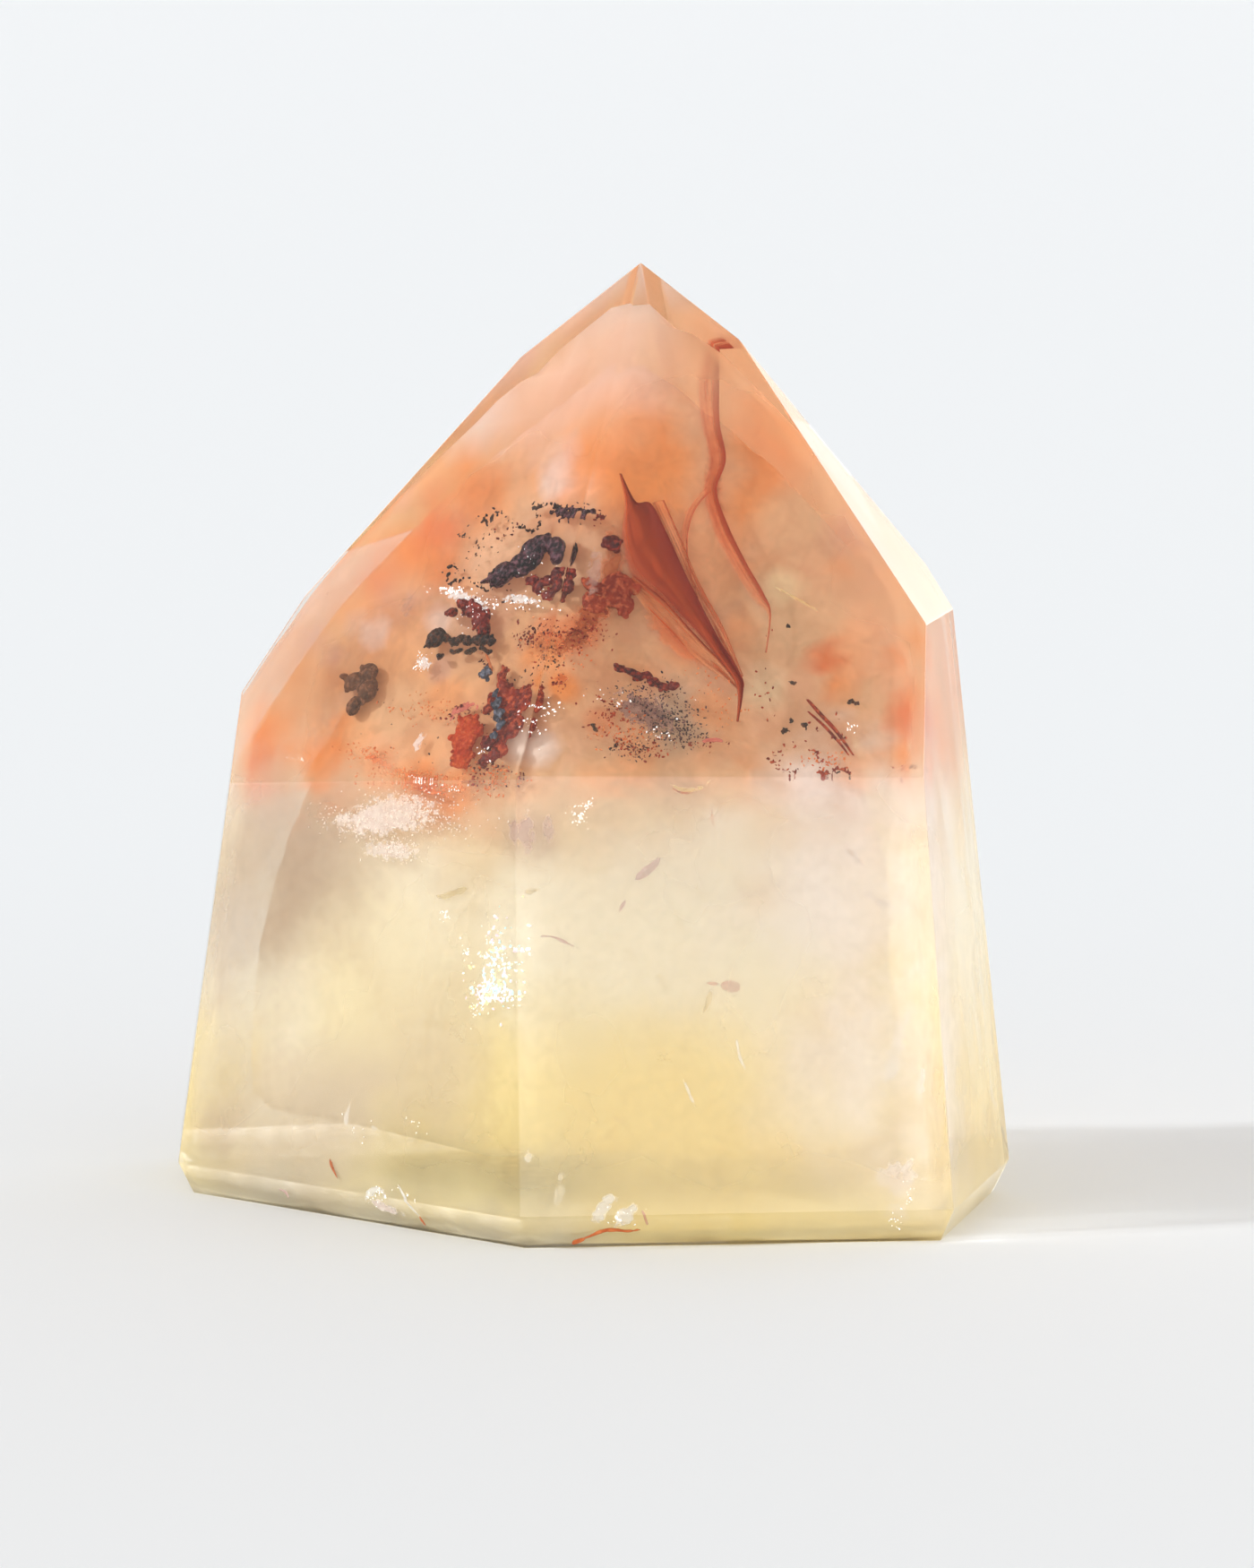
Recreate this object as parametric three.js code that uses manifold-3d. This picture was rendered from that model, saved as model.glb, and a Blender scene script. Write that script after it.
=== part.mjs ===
// A polished quartz point, pale citrine yellow below and clouded orange under its tip.
// It is one leaning six-sided stone, ground flat at the foot, with a low pyramid of facets on top.
// Small bodies of red and black iron minerals lie sealed a few millimetres behind the two
// front facets of the tip. The clear stone is parted along a bent surface through them, so
// that each mineral body lies in a pocket that both halves share.
// Lengths are millimetres and angles are degrees. +Z is up, the front faces -Y, and the
// origin is the middle of the foot.
import * as THREE from "three";
import { mergeVertices } from "three/addons/utils/BufferGeometryUtils.js";
import Module from "manifold-3d";

// Driving dimensions of the ground facets.
// azimuth is the way a facet faces, turned from +X towards +Y, lean is how far it leans in
// from upright, and reach is its distance from the middle axis at its own level.
const footLevel = 0;
const shoulderLevel = 30;

const bodyFacets = {
  front: { azimuth: 274.8, lean: 6.9, reach: 20.05 },
  frontLeft: { azimuth: 233.1, lean: 5.2, reach: 18.94 },
  backLeft: { azimuth: 183.4, lean: 8.2, reach: 28.04 },
  back: { azimuth: 106.0, lean: 6.0, reach: 17.3 },
  backRight: { azimuth: 42.4, lean: 5.6, reach: 20.16 },
  right: { azimuth: 343.9, lean: 5.7, reach: 27.96 },
};

const tipFacets = {
  tipFront: { azimuth: 275.1, lean: 25.1, reach: 16.54 },
  tipFrontLeft: { azimuth: 230.7, lean: 28.3, reach: 16.02 },
  tipShoulder: { azimuth: 165.4, lean: 31.3, reach: 25.01 },
  tipBackLeft: { azimuth: 164.1, lean: 41.4, reach: 27.68 },
  tipBack: { azimuth: 109.4, lean: 36.0, reach: 21.6 },
  tipBackRight: { azimuth: 45.0, lean: 33.9, reach: 23.66 },
  tipRight: { azimuth: 342.9, lean: 37.2, reach: 31.27 },
};

// The foot bevel, ground all round the base.
const footBevel = { height: 2.2, inset: 1.0 };

// A shallow chip broken out of the front bevel: its middle, how deep it goes and its ball.
const frontChip = { across: 1.4, level: 1.6, depth: 0.35, radius: 5.5 };

// The rough block that the facets are ground from, and the blocks that cut it.
const blankSize = 90;
const lapSize = 160;

// How far behind the two front tip facets the stone is parted, and the gap left there.
const partingDepth = 2.4;
const fitGap = 0.3;

// Mineral bodies, each placed on the face that it is seen through. across and up run along
// that face from the foot of the ridge between the two front tip facets, and depth goes in.
// size is the body's extent across, up and into the stone, and turn rotates it on the face.
const lumps = {
  violet_clump: {
    facet: "tipFrontLeft", across: -6.4, up: 15.4, depth: 2.4,
    size: [5.2, 3.6, 2.0], turn: 12, roughness: 0.32, seed: 1, colour: 0x3a2a30,
  },
  maroon_lump: {
    facet: "tipFrontLeft", across: -9.2, up: 11.3, depth: 2.2,
    size: [3.4, 2.3, 1.5], turn: 4, roughness: 0.26, seed: 2, colour: 0x6e241e,
  },
  black_crust: {
    facet: "tipFrontLeft", across: -10.1, up: 9.0, depth: 2.3,
    size: [4.6, 1.3, 1.1], turn: 2, roughness: 0.3, seed: 3, colour: 0x231a1c,
  },
  deep_red_lump: {
    facet: "tipFrontLeft", across: -3.6, up: 5.0, depth: 2.4,
    size: [3.0, 5.2, 1.8], turn: -4, roughness: 0.28, seed: 4, colour: 0x7a2a1c,
  },
  rust_lump: {
    facet: "tipFrontLeft", across: -6.5, up: 2.7, depth: 2.2,
    size: [2.0, 3.7, 1.5], turn: 0, roughness: 0.18, seed: 5, colour: 0xb5522a,
  },
  brown_lump: {
    facet: "tipFrontLeft", across: -17.1, up: 5.4, depth: 2.6,
    size: [3.5, 3.5, 1.6], turn: 20, roughness: 0.22, seed: 6, colour: 0x61402c,
  },
  brick_lump: {
    facet: "tipFront", across: 6.2, up: 13.1, depth: 2.6,
    size: [3.0, 3.2, 1.4], turn: 15, roughness: 0.24, seed: 7, colour: 0x9c3f28,
  },
  maroon_bar: {
    facet: "tipFront", across: 8.7, up: 7.2, depth: 2.3,
    size: [4.2, 1.5, 1.2], turn: -22, roughness: 0.25, seed: 8, colour: 0x5a1f1a,
  },
};

// Thin veils of red oxide: a spine on the face, half of the width at each of its points,
// and the round-ended pocket that holds the veil.
const veils = {
  red_veil: {
    facet: "tipFront", depth: 2.4, thickness: 0.9, colour: 0x77230f,
    spine: [[7.9, 20.4], [9.0, 17.4], [10.3, 14.8], [12.2, 11.6], [14.2, 8.4], [15.1, 6.6], [14.7, 4.4]],
    halfWidths: [0.15, 1.0, 1.35, 0.95, 0.6, 0.4, 0.12],
    pocket: { across: 11.5, up: 12.4, length: 18.6, width: 5.4, turn: 113 },
  },
  upper_veil: {
    facet: "tipFront", depth: 2.5, thickness: 0.7, colour: 0xa8482a,
    spine: [[13.2, 28.4], [13.1, 26.4], [13.9, 23.6], [13.5, 20.4], [14.6, 17.0], [16.6, 12.8]],
    halfWidths: [0.2, 0.5, 0.7, 0.6, 0.45, 0.12],
    pocket: { across: 14.6, up: 20.6, length: 17.4, width: 3.8, turn: 102 },
  },
};

const crystalFinish = { color: 0xe9dcb2, roughness: 0.05, metalness: 0, transparent: true, opacity: 0.5 };
const mineralRoughness = 0.6;

const wasm = await Module();
wasm.setup();

// Turns a closed geometry into a solid, with only its places kept.
function toSolid(geometry) {
  const bare = geometry.clone();
  bare.deleteAttribute("normal");
  bare.deleteAttribute("uv");
  const merged = mergeVertices(bare, 1e-4);
  return new wasm.Manifold(
    new wasm.Mesh({
      numProp: 3,
      vertProperties: merged.attributes.position.array,
      triVerts: new Uint32Array(merged.index.array),
    }),
  );
}

// Turns a solid into a geometry that a mesh can hold.
function toGeometry(solid) {
  const mesh = solid.getMesh();
  const places = new Float32Array(mesh.numVert * 3);
  for (let i = 0; i < mesh.numVert; i += 1) {
    places.set(mesh.vertProperties.subarray(i * mesh.numProp, i * mesh.numProp + 3), i * 3);
  }
  const geometry = new THREE.BufferGeometry();
  geometry.setAttribute("position", new THREE.BufferAttribute(places, 3));
  geometry.setIndex(new THREE.BufferAttribute(new Uint32Array(mesh.triVerts), 1));
  const flat = geometry.toNonIndexed();
  flat.computeVertexNormals();
  return flat;
}

// The plane of a facet: which way it faces, and how far out it is from the origin.
function facetPlane(facet, level) {
  const turn = THREE.MathUtils.degToRad(facet.azimuth);
  const lean = THREE.MathUtils.degToRad(facet.lean);
  const sideways = new THREE.Vector3(Math.cos(turn), Math.sin(turn), 0);
  const normal = sideways.clone().multiplyScalar(Math.cos(lean));
  normal.z = Math.sin(lean);
  const onFacet = sideways.multiplyScalar(facet.reach);
  onFacet.z = level;
  return { normal, distance: normal.dot(onFacet) };
}

// A large block with one face along a plane, its middle at the given reach along the normal.
function blockAlong(plane, reach) {
  const block = new THREE.BoxGeometry(lapSize, lapSize, lapSize);
  const turned = new THREE.Quaternion().setFromUnitVectors(new THREE.Vector3(0, 0, 1), plane.normal);
  block.applyQuaternion(turned);
  block.translate(...plane.normal.clone().multiplyScalar(reach).toArray());
  return toSolid(block);
}

// A grinding lap laid on a facet's plane: it holds all the material outside the facet.
function lapOn(plane) {
  return blockAlong(plane, plane.distance + lapSize / 2);
}

// The bevel below a body facet leans outwards as it rises to meet that facet.
function bevelFacet(facet) {
  const leaning = Math.tan(THREE.MathUtils.degToRad(facet.lean)) * footBevel.height;
  const outward = THREE.MathUtils.radToDeg(Math.atan(footBevel.inset / footBevel.height));
  return { azimuth: facet.azimuth, lean: -outward, reach: facet.reach - leaning - footBevel.inset };
}

// The whole stone, ground from a block, with no mineral bodies in it.
function groundStone() {
  const blank = new THREE.BoxGeometry(blankSize, blankSize, blankSize);
  blank.translate(0, 0, blankSize / 2);
  let stone = toSolid(blank);
  for (const facet of Object.values(bodyFacets)) {
    stone = stone.subtract(lapOn(facetPlane(facet, footLevel)));
    stone = stone.subtract(lapOn(facetPlane(bevelFacet(facet), footLevel)));
  }
  for (const facet of Object.values(tipFacets)) {
    stone = stone.subtract(lapOn(facetPlane(facet, shoulderLevel)));
  }
  return stone.subtract(chipBall());
}

// The ball whose cap is the shell-shaped scar of the chip.
function chipBall() {
  const plane = facetPlane(bevelFacet(bodyFacets.front), footLevel);
  const ball = new THREE.IcosahedronGeometry(frontChip.radius, 5);
  const outside = frontChip.radius - frontChip.depth;
  const height = frontChip.level;
  const onBevelY = (plane.distance - plane.normal.x * frontChip.across - plane.normal.z * height) / plane.normal.y;
  const middle = new THREE.Vector3(frontChip.across, onBevelY, height);
  middle.addScaledVector(plane.normal, outside);
  ball.translate(middle.x, middle.y, middle.z);
  return toSolid(ball);
}

// The foot of the ridge between the two front tip facets, where three planes meet.
function ridgeFoot() {
  const planes = [
    facetPlane(bodyFacets.frontLeft, footLevel),
    facetPlane(tipFacets.tipFrontLeft, shoulderLevel),
    facetPlane(tipFacets.tipFront, shoulderLevel),
  ];
  const [a, b, c] = planes.map((plane) => plane.normal);
  const rows = new THREE.Matrix3().set(a.x, a.y, a.z, b.x, b.y, b.z, c.x, c.y, c.z);
  const distances = new THREE.Vector3(...planes.map((plane) => plane.distance));
  return distances.applyMatrix3(rows.invert());
}

// Axes on a tip facet: across to the right, up the slope, and out of the stone.
function faceAxes(facetName) {
  const outward = facetPlane(tipFacets[facetName], shoulderLevel).normal;
  const across = new THREE.Vector3(0, 0, 1).cross(outward).normalize();
  const up = outward.clone().cross(across);
  return new THREE.Matrix4().makeBasis(across, up, outward).setPosition(ridgeFoot());
}

// Moves a shape drawn flat about its own middle to its place behind a facet.
function settle(geometry, place) {
  geometry.rotateZ(THREE.MathUtils.degToRad(place.turn));
  geometry.translate(place.across, place.up, -place.depth);
  return geometry.applyMatrix4(faceAxes(place.facet));
}

// A knobbly mineral body inside the ellipsoid of its size.
function lumpGeometry(lump) {
  const geometry = new THREE.IcosahedronGeometry(0.5, 3);
  const places = geometry.getAttribute("position");
  const point = new THREE.Vector3();
  for (let i = 0; i < places.count; i += 1) {
    point.fromBufferAttribute(places, i);
    const wave =
      Math.sin(9 * point.x + 4.1 * lump.seed) * Math.sin(7 * point.y + 1.7 * lump.seed) +
      0.6 * Math.sin(15 * point.y + 2.3 * lump.seed) * Math.sin(13 * point.z + 11 * point.x);
    point.multiplyScalar(1 - (lump.roughness * (1.6 + wave)) / 3.2);
    places.setXYZ(i, point.x, point.y, point.z);
  }
  geometry.scale(...lump.size);
  return settle(geometry, lump);
}

// A round-ended flat pocket, larger all round than what it holds by the fit gap.
function pocketSolid(place, length, width, thickness) {
  const sides = 18;
  const roundness = 1 / Math.cos(Math.PI / sides);
  const geometry = new THREE.CylinderGeometry(0.5, 0.5, 1, sides);
  geometry.rotateX(Math.PI / 2);
  const grow = 2 * fitGap;
  geometry.scale((length + grow) * roundness, (width + grow) * roundness, thickness + grow);
  return toSolid(settle(geometry, place));
}

// The outline of a veil: both sides of its spine, out by half of its width there.
function veilOutline(veil) {
  const spine = new THREE.SplineCurve(veil.spine.map(([across, up]) => new THREE.Vector2(across, up)));
  const steps = 5 * (veil.spine.length - 1);
  const widths = new THREE.SplineCurve(veil.halfWidths.map((width, i) => new THREE.Vector2(i, width)));
  const left = [];
  const right = [];
  for (let i = 0; i <= steps; i += 1) {
    const middle = spine.getPoint(i / steps);
    const along = spine.getTangent(i / steps);
    const halfWidth = Math.max(widths.getPoint(i / steps).y, 0.1);
    const sideways = new THREE.Vector2(-along.y, along.x).multiplyScalar(halfWidth);
    left.push(middle.clone().add(sideways));
    right.unshift(middle.clone().sub(sideways));
  }
  return new THREE.Shape([...left, ...right]);
}

// A thin curved plate of oxide.
function veilGeometry(veil) {
  const options = { depth: veil.thickness, bevelEnabled: false, curveSegments: 1 };
  const geometry = new THREE.ExtrudeGeometry(veilOutline(veil), options);
  geometry.translate(0, 0, -veil.thickness / 2 - veil.depth);
  return geometry.applyMatrix4(faceAxes(veil.facet));
}

// All the pockets joined in one solid.
function allPockets() {
  const pockets = [];
  for (const lump of Object.values(lumps)) {
    pockets.push(pocketSolid(lump, ...lump.size));
  }
  for (const veil of Object.values(veils)) {
    const place = { ...veil.pocket, facet: veil.facet, depth: veil.depth };
    pockets.push(pocketSolid(place, veil.pocket.length, veil.pocket.width, veil.thickness));
  }
  return pockets.reduce((joined, pocket) => joined.add(pocket));
}

// All space that lies behind both front tip facets by at least the given depth.
function spaceBehind(depth) {
  const planes = [tipFacets.tipFront, tipFacets.tipFrontLeft].map((facet) => facetPlane(facet, shoulderLevel));
  const [behindFront, behindLeft] = planes.map((plane) => {
    return blockAlong(plane, plane.distance - depth - lapSize / 2);
  });
  return behindFront.intersect(behindLeft);
}

function namedMesh(name, geometry, finish) {
  const mesh = new THREE.Mesh(geometry, new THREE.MeshStandardMaterial(finish));
  mesh.name = name;
  return mesh;
}

// The clear stone as two halves that share the pockets.
function crystalMeshes() {
  const stone = groundStone().subtract(allPockets());
  const backHalf = stone.intersect(spaceBehind(partingDepth + fitGap / 2));
  const frontHalf = stone.subtract(spaceBehind(partingDepth - fitGap / 2));
  return [
    namedMesh("crystal_back", toGeometry(backHalf), crystalFinish),
    namedMesh("crystal_front", toGeometry(frontHalf), crystalFinish),
  ];
}

// The sealed mineral bodies.
function mineralMeshes() {
  const meshes = [];
  for (const [name, lump] of Object.entries(lumps)) {
    meshes.push(namedMesh(name, lumpGeometry(lump), mineralFinish(lump.colour)));
  }
  for (const [name, veil] of Object.entries(veils)) {
    meshes.push(namedMesh(name, veilGeometry(veil), mineralFinish(veil.colour)));
  }
  return meshes;
}

function mineralFinish(colour) {
  return { color: colour, roughness: mineralRoughness, metalness: 0 };
}

const citrinePoint = new THREE.Group();
citrinePoint.add(...crystalMeshes(), ...mineralMeshes());

export default citrinePoint;
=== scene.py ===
import math
import random

import bpy
from mathutils import Matrix, Vector, noise


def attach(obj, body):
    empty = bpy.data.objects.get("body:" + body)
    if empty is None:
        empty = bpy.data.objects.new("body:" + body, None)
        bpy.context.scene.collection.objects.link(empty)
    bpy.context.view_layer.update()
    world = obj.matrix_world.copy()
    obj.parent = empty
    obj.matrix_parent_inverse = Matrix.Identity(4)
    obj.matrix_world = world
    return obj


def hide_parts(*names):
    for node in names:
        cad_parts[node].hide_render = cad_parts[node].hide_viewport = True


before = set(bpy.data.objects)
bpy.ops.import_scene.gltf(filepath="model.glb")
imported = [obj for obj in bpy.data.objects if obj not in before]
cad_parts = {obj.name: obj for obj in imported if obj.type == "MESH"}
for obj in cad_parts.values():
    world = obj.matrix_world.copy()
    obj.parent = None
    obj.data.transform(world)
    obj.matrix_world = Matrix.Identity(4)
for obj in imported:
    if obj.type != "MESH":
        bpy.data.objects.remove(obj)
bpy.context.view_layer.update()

# A polished citrine point. All lengths typed here are millimetres and become metres through mm.
mm = 0.001
scene = bpy.context.scene
noise.seed_set(1)        # or the clouds would differ from run to run


# The facets as they were ground: which way each faces, how far it leans in, and its reach from
# the middle axis at its own level.
stone = {
    "blank": 90.0,           # the rough block, before grinding
    "footLevel": 0.0,
    "shoulderLevel": 30.0,
    "bodyFacets": {
        "front": (274.8, 6.9, 20.05),
        "frontLeft": (233.1, 5.2, 18.94),
        "backLeft": (183.4, 8.2, 28.04),
        "back": (106.0, 6.0, 17.3),
        "backRight": (42.4, 5.6, 20.16),
        "right": (343.9, 5.7, 27.96),
    },
    "tipFacets": {
        "tipFront": (275.1, 25.1, 16.54),
        "tipFrontLeft": (230.7, 28.3, 16.02),
        "tipShoulder": (165.4, 31.3, 25.01),
        "tipBackLeft": (164.1, 41.4, 27.68),
        "tipBack": (109.4, 36.0, 21.6),
        "tipBackRight": (45.0, 33.9, 23.66),
        "tipRight": (342.9, 37.2, 31.27),
    },
    "bevelHeight": 2.2,
    "bevelInset": 1.0,
    "edgeRound": 0.14,       # the polishing wheel takes the knife edge off
    "roughness": 0.07,
    "refraction": 1.544,
    "surfaceTint": (1.0, 0.995, 0.985),
    "depthTint": (0.93, 0.82, 0.42),
    "depthDensity": 7.0,
}


def facetPlane(facet, level):
    # outward normal of a facet and a point on it, in millimetres
    azimuth, lean, reach = facet
    turn = math.radians(azimuth)
    tilt = math.radians(lean)
    sideways = Vector((math.cos(turn), math.sin(turn), 0.0))
    normal = sideways * math.cos(tilt) + Vector((0.0, 0.0, math.sin(tilt)))
    return normal, sideways * reach + Vector((0.0, 0.0, level))


def bevelFacet(facet):
    # the bevel below a body facet leans outwards as it rises
    azimuth, lean, reach = facet
    fallen = math.tan(math.radians(lean)) * stone["bevelHeight"]
    outward = math.degrees(math.atan(stone["bevelInset"] / stone["bevelHeight"]))
    return azimuth, -outward, reach - fallen - stone["bevelInset"]


def ridgeFoot():
    # where the ridge between the two front tip facets meets the body
    planes = [
        facetPlane(stone["bodyFacets"]["frontLeft"], stone["footLevel"]),
        facetPlane(stone["tipFacets"]["tipFrontLeft"], stone["shoulderLevel"]),
        facetPlane(stone["tipFacets"]["tipFront"], stone["shoulderLevel"]),
    ]
    rows = Matrix([normal for normal, point in planes])
    distances = Vector([normal.dot(point) for normal, point in planes])
    return rows.inverted() @ distances


def faceMatrix(facetName):
    # axes on a facet: across to the right, up the slope, and out of the stone. They start at the
    # foot of the front ridge, or right behind it on the facets that don't reach it.
    if facetName in stone["tipFacets"]:
        outward, point = facetPlane(stone["tipFacets"][facetName], stone["shoulderLevel"])
    else:
        outward, point = facetPlane(stone["bodyFacets"][facetName], stone["footLevel"])
    across = Vector((0.0, 0.0, 1.0)).cross(outward).normalized()
    up = outward.cross(across)
    start = ridgeFoot()
    start = start - outward * (start - point).dot(outward)
    turned = Matrix((across, up, outward)).transposed().to_4x4()
    return Matrix.Translation(start) @ turned


def spotOn(facetName, across, up, depth):
    # a place inside a facet, in millimetres
    return faceMatrix(facetName) @ Vector((across, up, -depth))


# Small helpers for working the way one does by hand.
def deselectAll():
    if bpy.context.object and bpy.context.object.mode != "OBJECT":
        bpy.ops.object.mode_set(mode="OBJECT")
    bpy.ops.object.select_all(action="DESELECT")


def pick(piece):
    deselectAll()
    piece.select_set(True)
    bpy.context.view_layer.objects.active = piece


def applyModifiers(piece):
    pick(piece)
    for modifier in list(piece.modifiers):
        bpy.ops.object.modifier_apply(modifier=modifier.name)


def freeze(piece):
    # the object goes back to the origin and its place goes into the mesh
    pick(piece)
    bpy.ops.object.transform_apply(location=True, rotation=True, scale=True)


def newFinish(name):
    material = bpy.data.materials.new(name)
    material.use_nodes = True
    nodes = material.node_tree.nodes
    return material, nodes, material.node_tree.links, nodes["Principled BSDF"]


def paint(red, green, blue):
    # a colour as a paint chart gives it, 0 to 255, made linear
    def linear(value):
        part = value / 255.0
        return part / 12.92 if part <= 0.04045 else ((part + 0.055) / 1.055) ** 2.4
    return linear(red), linear(green), linear(blue), 1.0


def layIn(piece, facetName, across, up, depth):
    # a piece modelled flat in millimetres is laid inside a facet
    place = Matrix.Translation((across, up, -depth))
    piece.matrix_world = Matrix.Scale(mm, 4) @ faceMatrix(facetName) @ place
    freeze(piece)


def makeFilm(piece, thickness, offset):
    # a flat sheet gets its thickness, with every face turned outwards
    film = piece.modifiers.new("film", "SOLIDIFY")
    film.thickness = thickness
    film.offset = offset
    applyModifiers(piece)
    bpy.ops.object.mode_set(mode="EDIT")
    bpy.ops.mesh.select_all(action="SELECT")
    bpy.ops.mesh.normals_make_consistent(inside=False)
    bpy.ops.object.mode_set(mode="OBJECT")
    bpy.ops.object.shade_smooth()


def joinAll(pieces, name):
    deselectAll()
    for piece in pieces:
        piece.select_set(True)
    bpy.context.view_layer.objects.active = pieces[0]
    if len(pieces) > 1:
        bpy.ops.object.join()
    joined = bpy.context.view_layer.objects.active
    joined.name = name
    return joined


def placeInMillimetres(nodes, links, seed):
    # a place in millimetres, moved on by a seed so that no two finishes look alike
    place = nodes.new("ShaderNodeTexCoord")
    mapping = nodes.new("ShaderNodeMapping")
    mapping.inputs["Scale"].default_value = (1000.0, 1000.0, 1000.0)
    mapping.inputs["Location"].default_value = (seed * 37.0, seed * 11.0, seed * 23.0)
    links.new(place.outputs["Object"], mapping.inputs["Vector"])
    return mapping.outputs["Vector"]


def blendColors(nodes, links, factor, first, second):
    # first and second are each a colour or a socket that gives one
    mix = nodes.new("ShaderNodeMix")
    mix.data_type = "RGBA"
    links.new(factor, mix.inputs["Factor"])
    for label, value in (("A", first), ("B", second)):
        if isinstance(value, tuple):
            mix.inputs[label].default_value = value
        else:
            links.new(value, mix.inputs[label])
    return mix.outputs["Result"]


def combine(nodes, links, operation, first, second):
    node = nodes.new("ShaderNodeMath")
    node.operation = operation
    node.use_clamp = True
    for socket, value in zip(node.inputs, (first, second)):
        if isinstance(value, float):
            socket.default_value = value
        else:
            links.new(value, socket)
    return node.outputs["Value"]


def mapValue(nodes, links, value, fromLow, fromHigh, toLow=0.0, toHigh=1.0, kind="SMOOTHSTEP"):
    node = nodes.new("ShaderNodeMapRange")
    node.interpolation_type = kind
    node.inputs["From Min"].default_value = fromLow
    node.inputs["From Max"].default_value = fromHigh
    node.inputs["To Min"].default_value = toLow
    node.inputs["To Max"].default_value = toHigh
    links.new(value, node.inputs["Value"])
    return node.outputs["Result"]


print("stage, camera and light")
studio = {
    "cameraAim": (2.6, 0.75, 27.44),
    "cameraDistance": 380.0,
    "cameraRise": 8.0,
    "lens": 162.05,
    "floorHalf": 60000.0,
    "floorDrop": 0.05,
    # the paper's colour runs from near to far as painted shade, greyer in front and bluer behind
    "paperNear": (0.83, 0.836, 0.842),
    "paperFar": (0.84, 0.858, 0.876),
    "paperNearAt": -80.0,
    "paperFarAt": 160.0,
    "sunTurn": 8.0,
    "sunRise": 33.0,
    "sunStrength": 1.4,
    "sunAngle": 2.0,
    "sunColor": (0.9, 0.95, 1.0),
    "roomColor": (1.0, 0.99, 0.975),
    "wallStrength": 2.5,
    "ceilingStrength": 0.6,
    "wallTop": 0.12,         # heights in the room, from 0 at the horizon to 1 overhead
    "ceilingFoot": 0.5,
    "leftShare": 0.75,
    "rightShare": 1.28,
    "bounces": 14,
    "softBounces": 6,
    "clearBounces": 64,
}


def makeCamera():
    bpy.ops.object.camera_add()
    camera = bpy.context.object
    camera.name = "photoCamera"
    rise = math.radians(studio["cameraRise"])
    aim = Vector(studio["cameraAim"]) * mm
    back = Vector((0.0, -math.cos(rise), math.sin(rise)))
    camera.location = aim + back * studio["cameraDistance"] * mm
    camera.rotation_euler = (math.pi / 2 - rise, 0.0, 0.0)
    camera.data.sensor_fit = "HORIZONTAL"
    camera.data.sensor_width = 36.0
    camera.data.lens = studio["lens"]
    camera.data.clip_start = 0.01
    scene.camera = camera


def makeFloor():
    # a table top so wide that its far edge lies above the picture
    deselectAll()
    half = studio["floorHalf"] * mm
    bpy.ops.mesh.primitive_plane_add(size=2 * half, location=(0, 0, -studio["floorDrop"] * mm))
    floor = bpy.context.object
    floor.name = "whiteTable"
    floor.data.materials.append(paperFinish())


def paperFinish():
    # painted shade: the paper is coloured a little greyer in front of the stone than behind it
    material, nodes, links, shader = newFinish("whitePaper")
    place = nodes.new("ShaderNodeTexCoord")
    split = nodes.new("ShaderNodeSeparateXYZ")
    links.new(place.outputs["Object"], split.inputs["Vector"])
    near = studio["paperNearAt"] * mm
    far = studio["paperFarAt"] * mm
    along = mapValue(nodes, links, split.outputs["Y"], near, far)
    tone = blendColors(nodes, links, along, (*studio["paperNear"], 1.0), (*studio["paperFar"], 1.0))
    links.new(tone, shader.inputs["Base Color"])
    shader.inputs["Roughness"].default_value = 0.9
    shader.inputs["Specular IOR Level"].default_value = 0.1
    return material


def makeLights():
    world = bpy.data.worlds.new("whiteRoom")
    world.use_nodes = True
    scene.world = world
    nodes = world.node_tree.nodes
    links = world.node_tree.links
    background = nodes["Background"]
    background.inputs["Color"].default_value = (*studio["roomColor"], 1.0)
    # bright walls and a dim ceiling, which the tip facets mirror, so the dark minerals stay dark
    heading = nodes.new("ShaderNodeTexCoord")
    split = nodes.new("ShaderNodeSeparateXYZ")
    links.new(heading.outputs["Object"], split.inputs["Vector"])
    dim = mapValue(
        nodes, links, split.outputs["Z"], studio["wallTop"], studio["ceilingFoot"],
        studio["wallStrength"], studio["ceilingStrength"],
    )
    # the room is brighter on the right
    side = mapValue(
        nodes, links, split.outputs["X"], -1.0, 1.0, studio["leftShare"], studio["rightShare"], "LINEAR",
    )
    strength = nodes.new("ShaderNodeMath")
    strength.operation = "MULTIPLY"
    links.new(dim, strength.inputs[0])
    links.new(side, strength.inputs[1])
    links.new(strength.outputs["Value"], background.inputs["Strength"])
    bpy.ops.object.light_add(type="SUN")
    sun = bpy.context.object
    sun.name = "windowSun"
    sun.data.energy = studio["sunStrength"]
    sun.data.angle = math.radians(studio["sunAngle"])
    sun.data.color = studio["sunColor"]
    turn = math.radians(studio["sunTurn"])
    rise = math.radians(studio["sunRise"])
    heading = Vector((math.cos(turn) * math.cos(rise), math.sin(turn) * math.cos(rise), -math.sin(rise)))
    sun.rotation_euler = heading.to_track_quat("-Z", "Y").to_euler()
    scene.view_settings.view_transform = "Standard"
    # light runs round inside the stone many times before it leaves
    scene.cycles.max_bounces = studio["bounces"]
    scene.cycles.glossy_bounces = studio["bounces"]
    scene.cycles.transmission_bounces = studio["bounces"]
    scene.cycles.diffuse_bounces = studio["softBounces"]
    scene.cycles.transparent_max_bounces = studio["clearBounces"]


makeCamera()
makeFloor()
makeLights()


print("grinding the stone")


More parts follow.
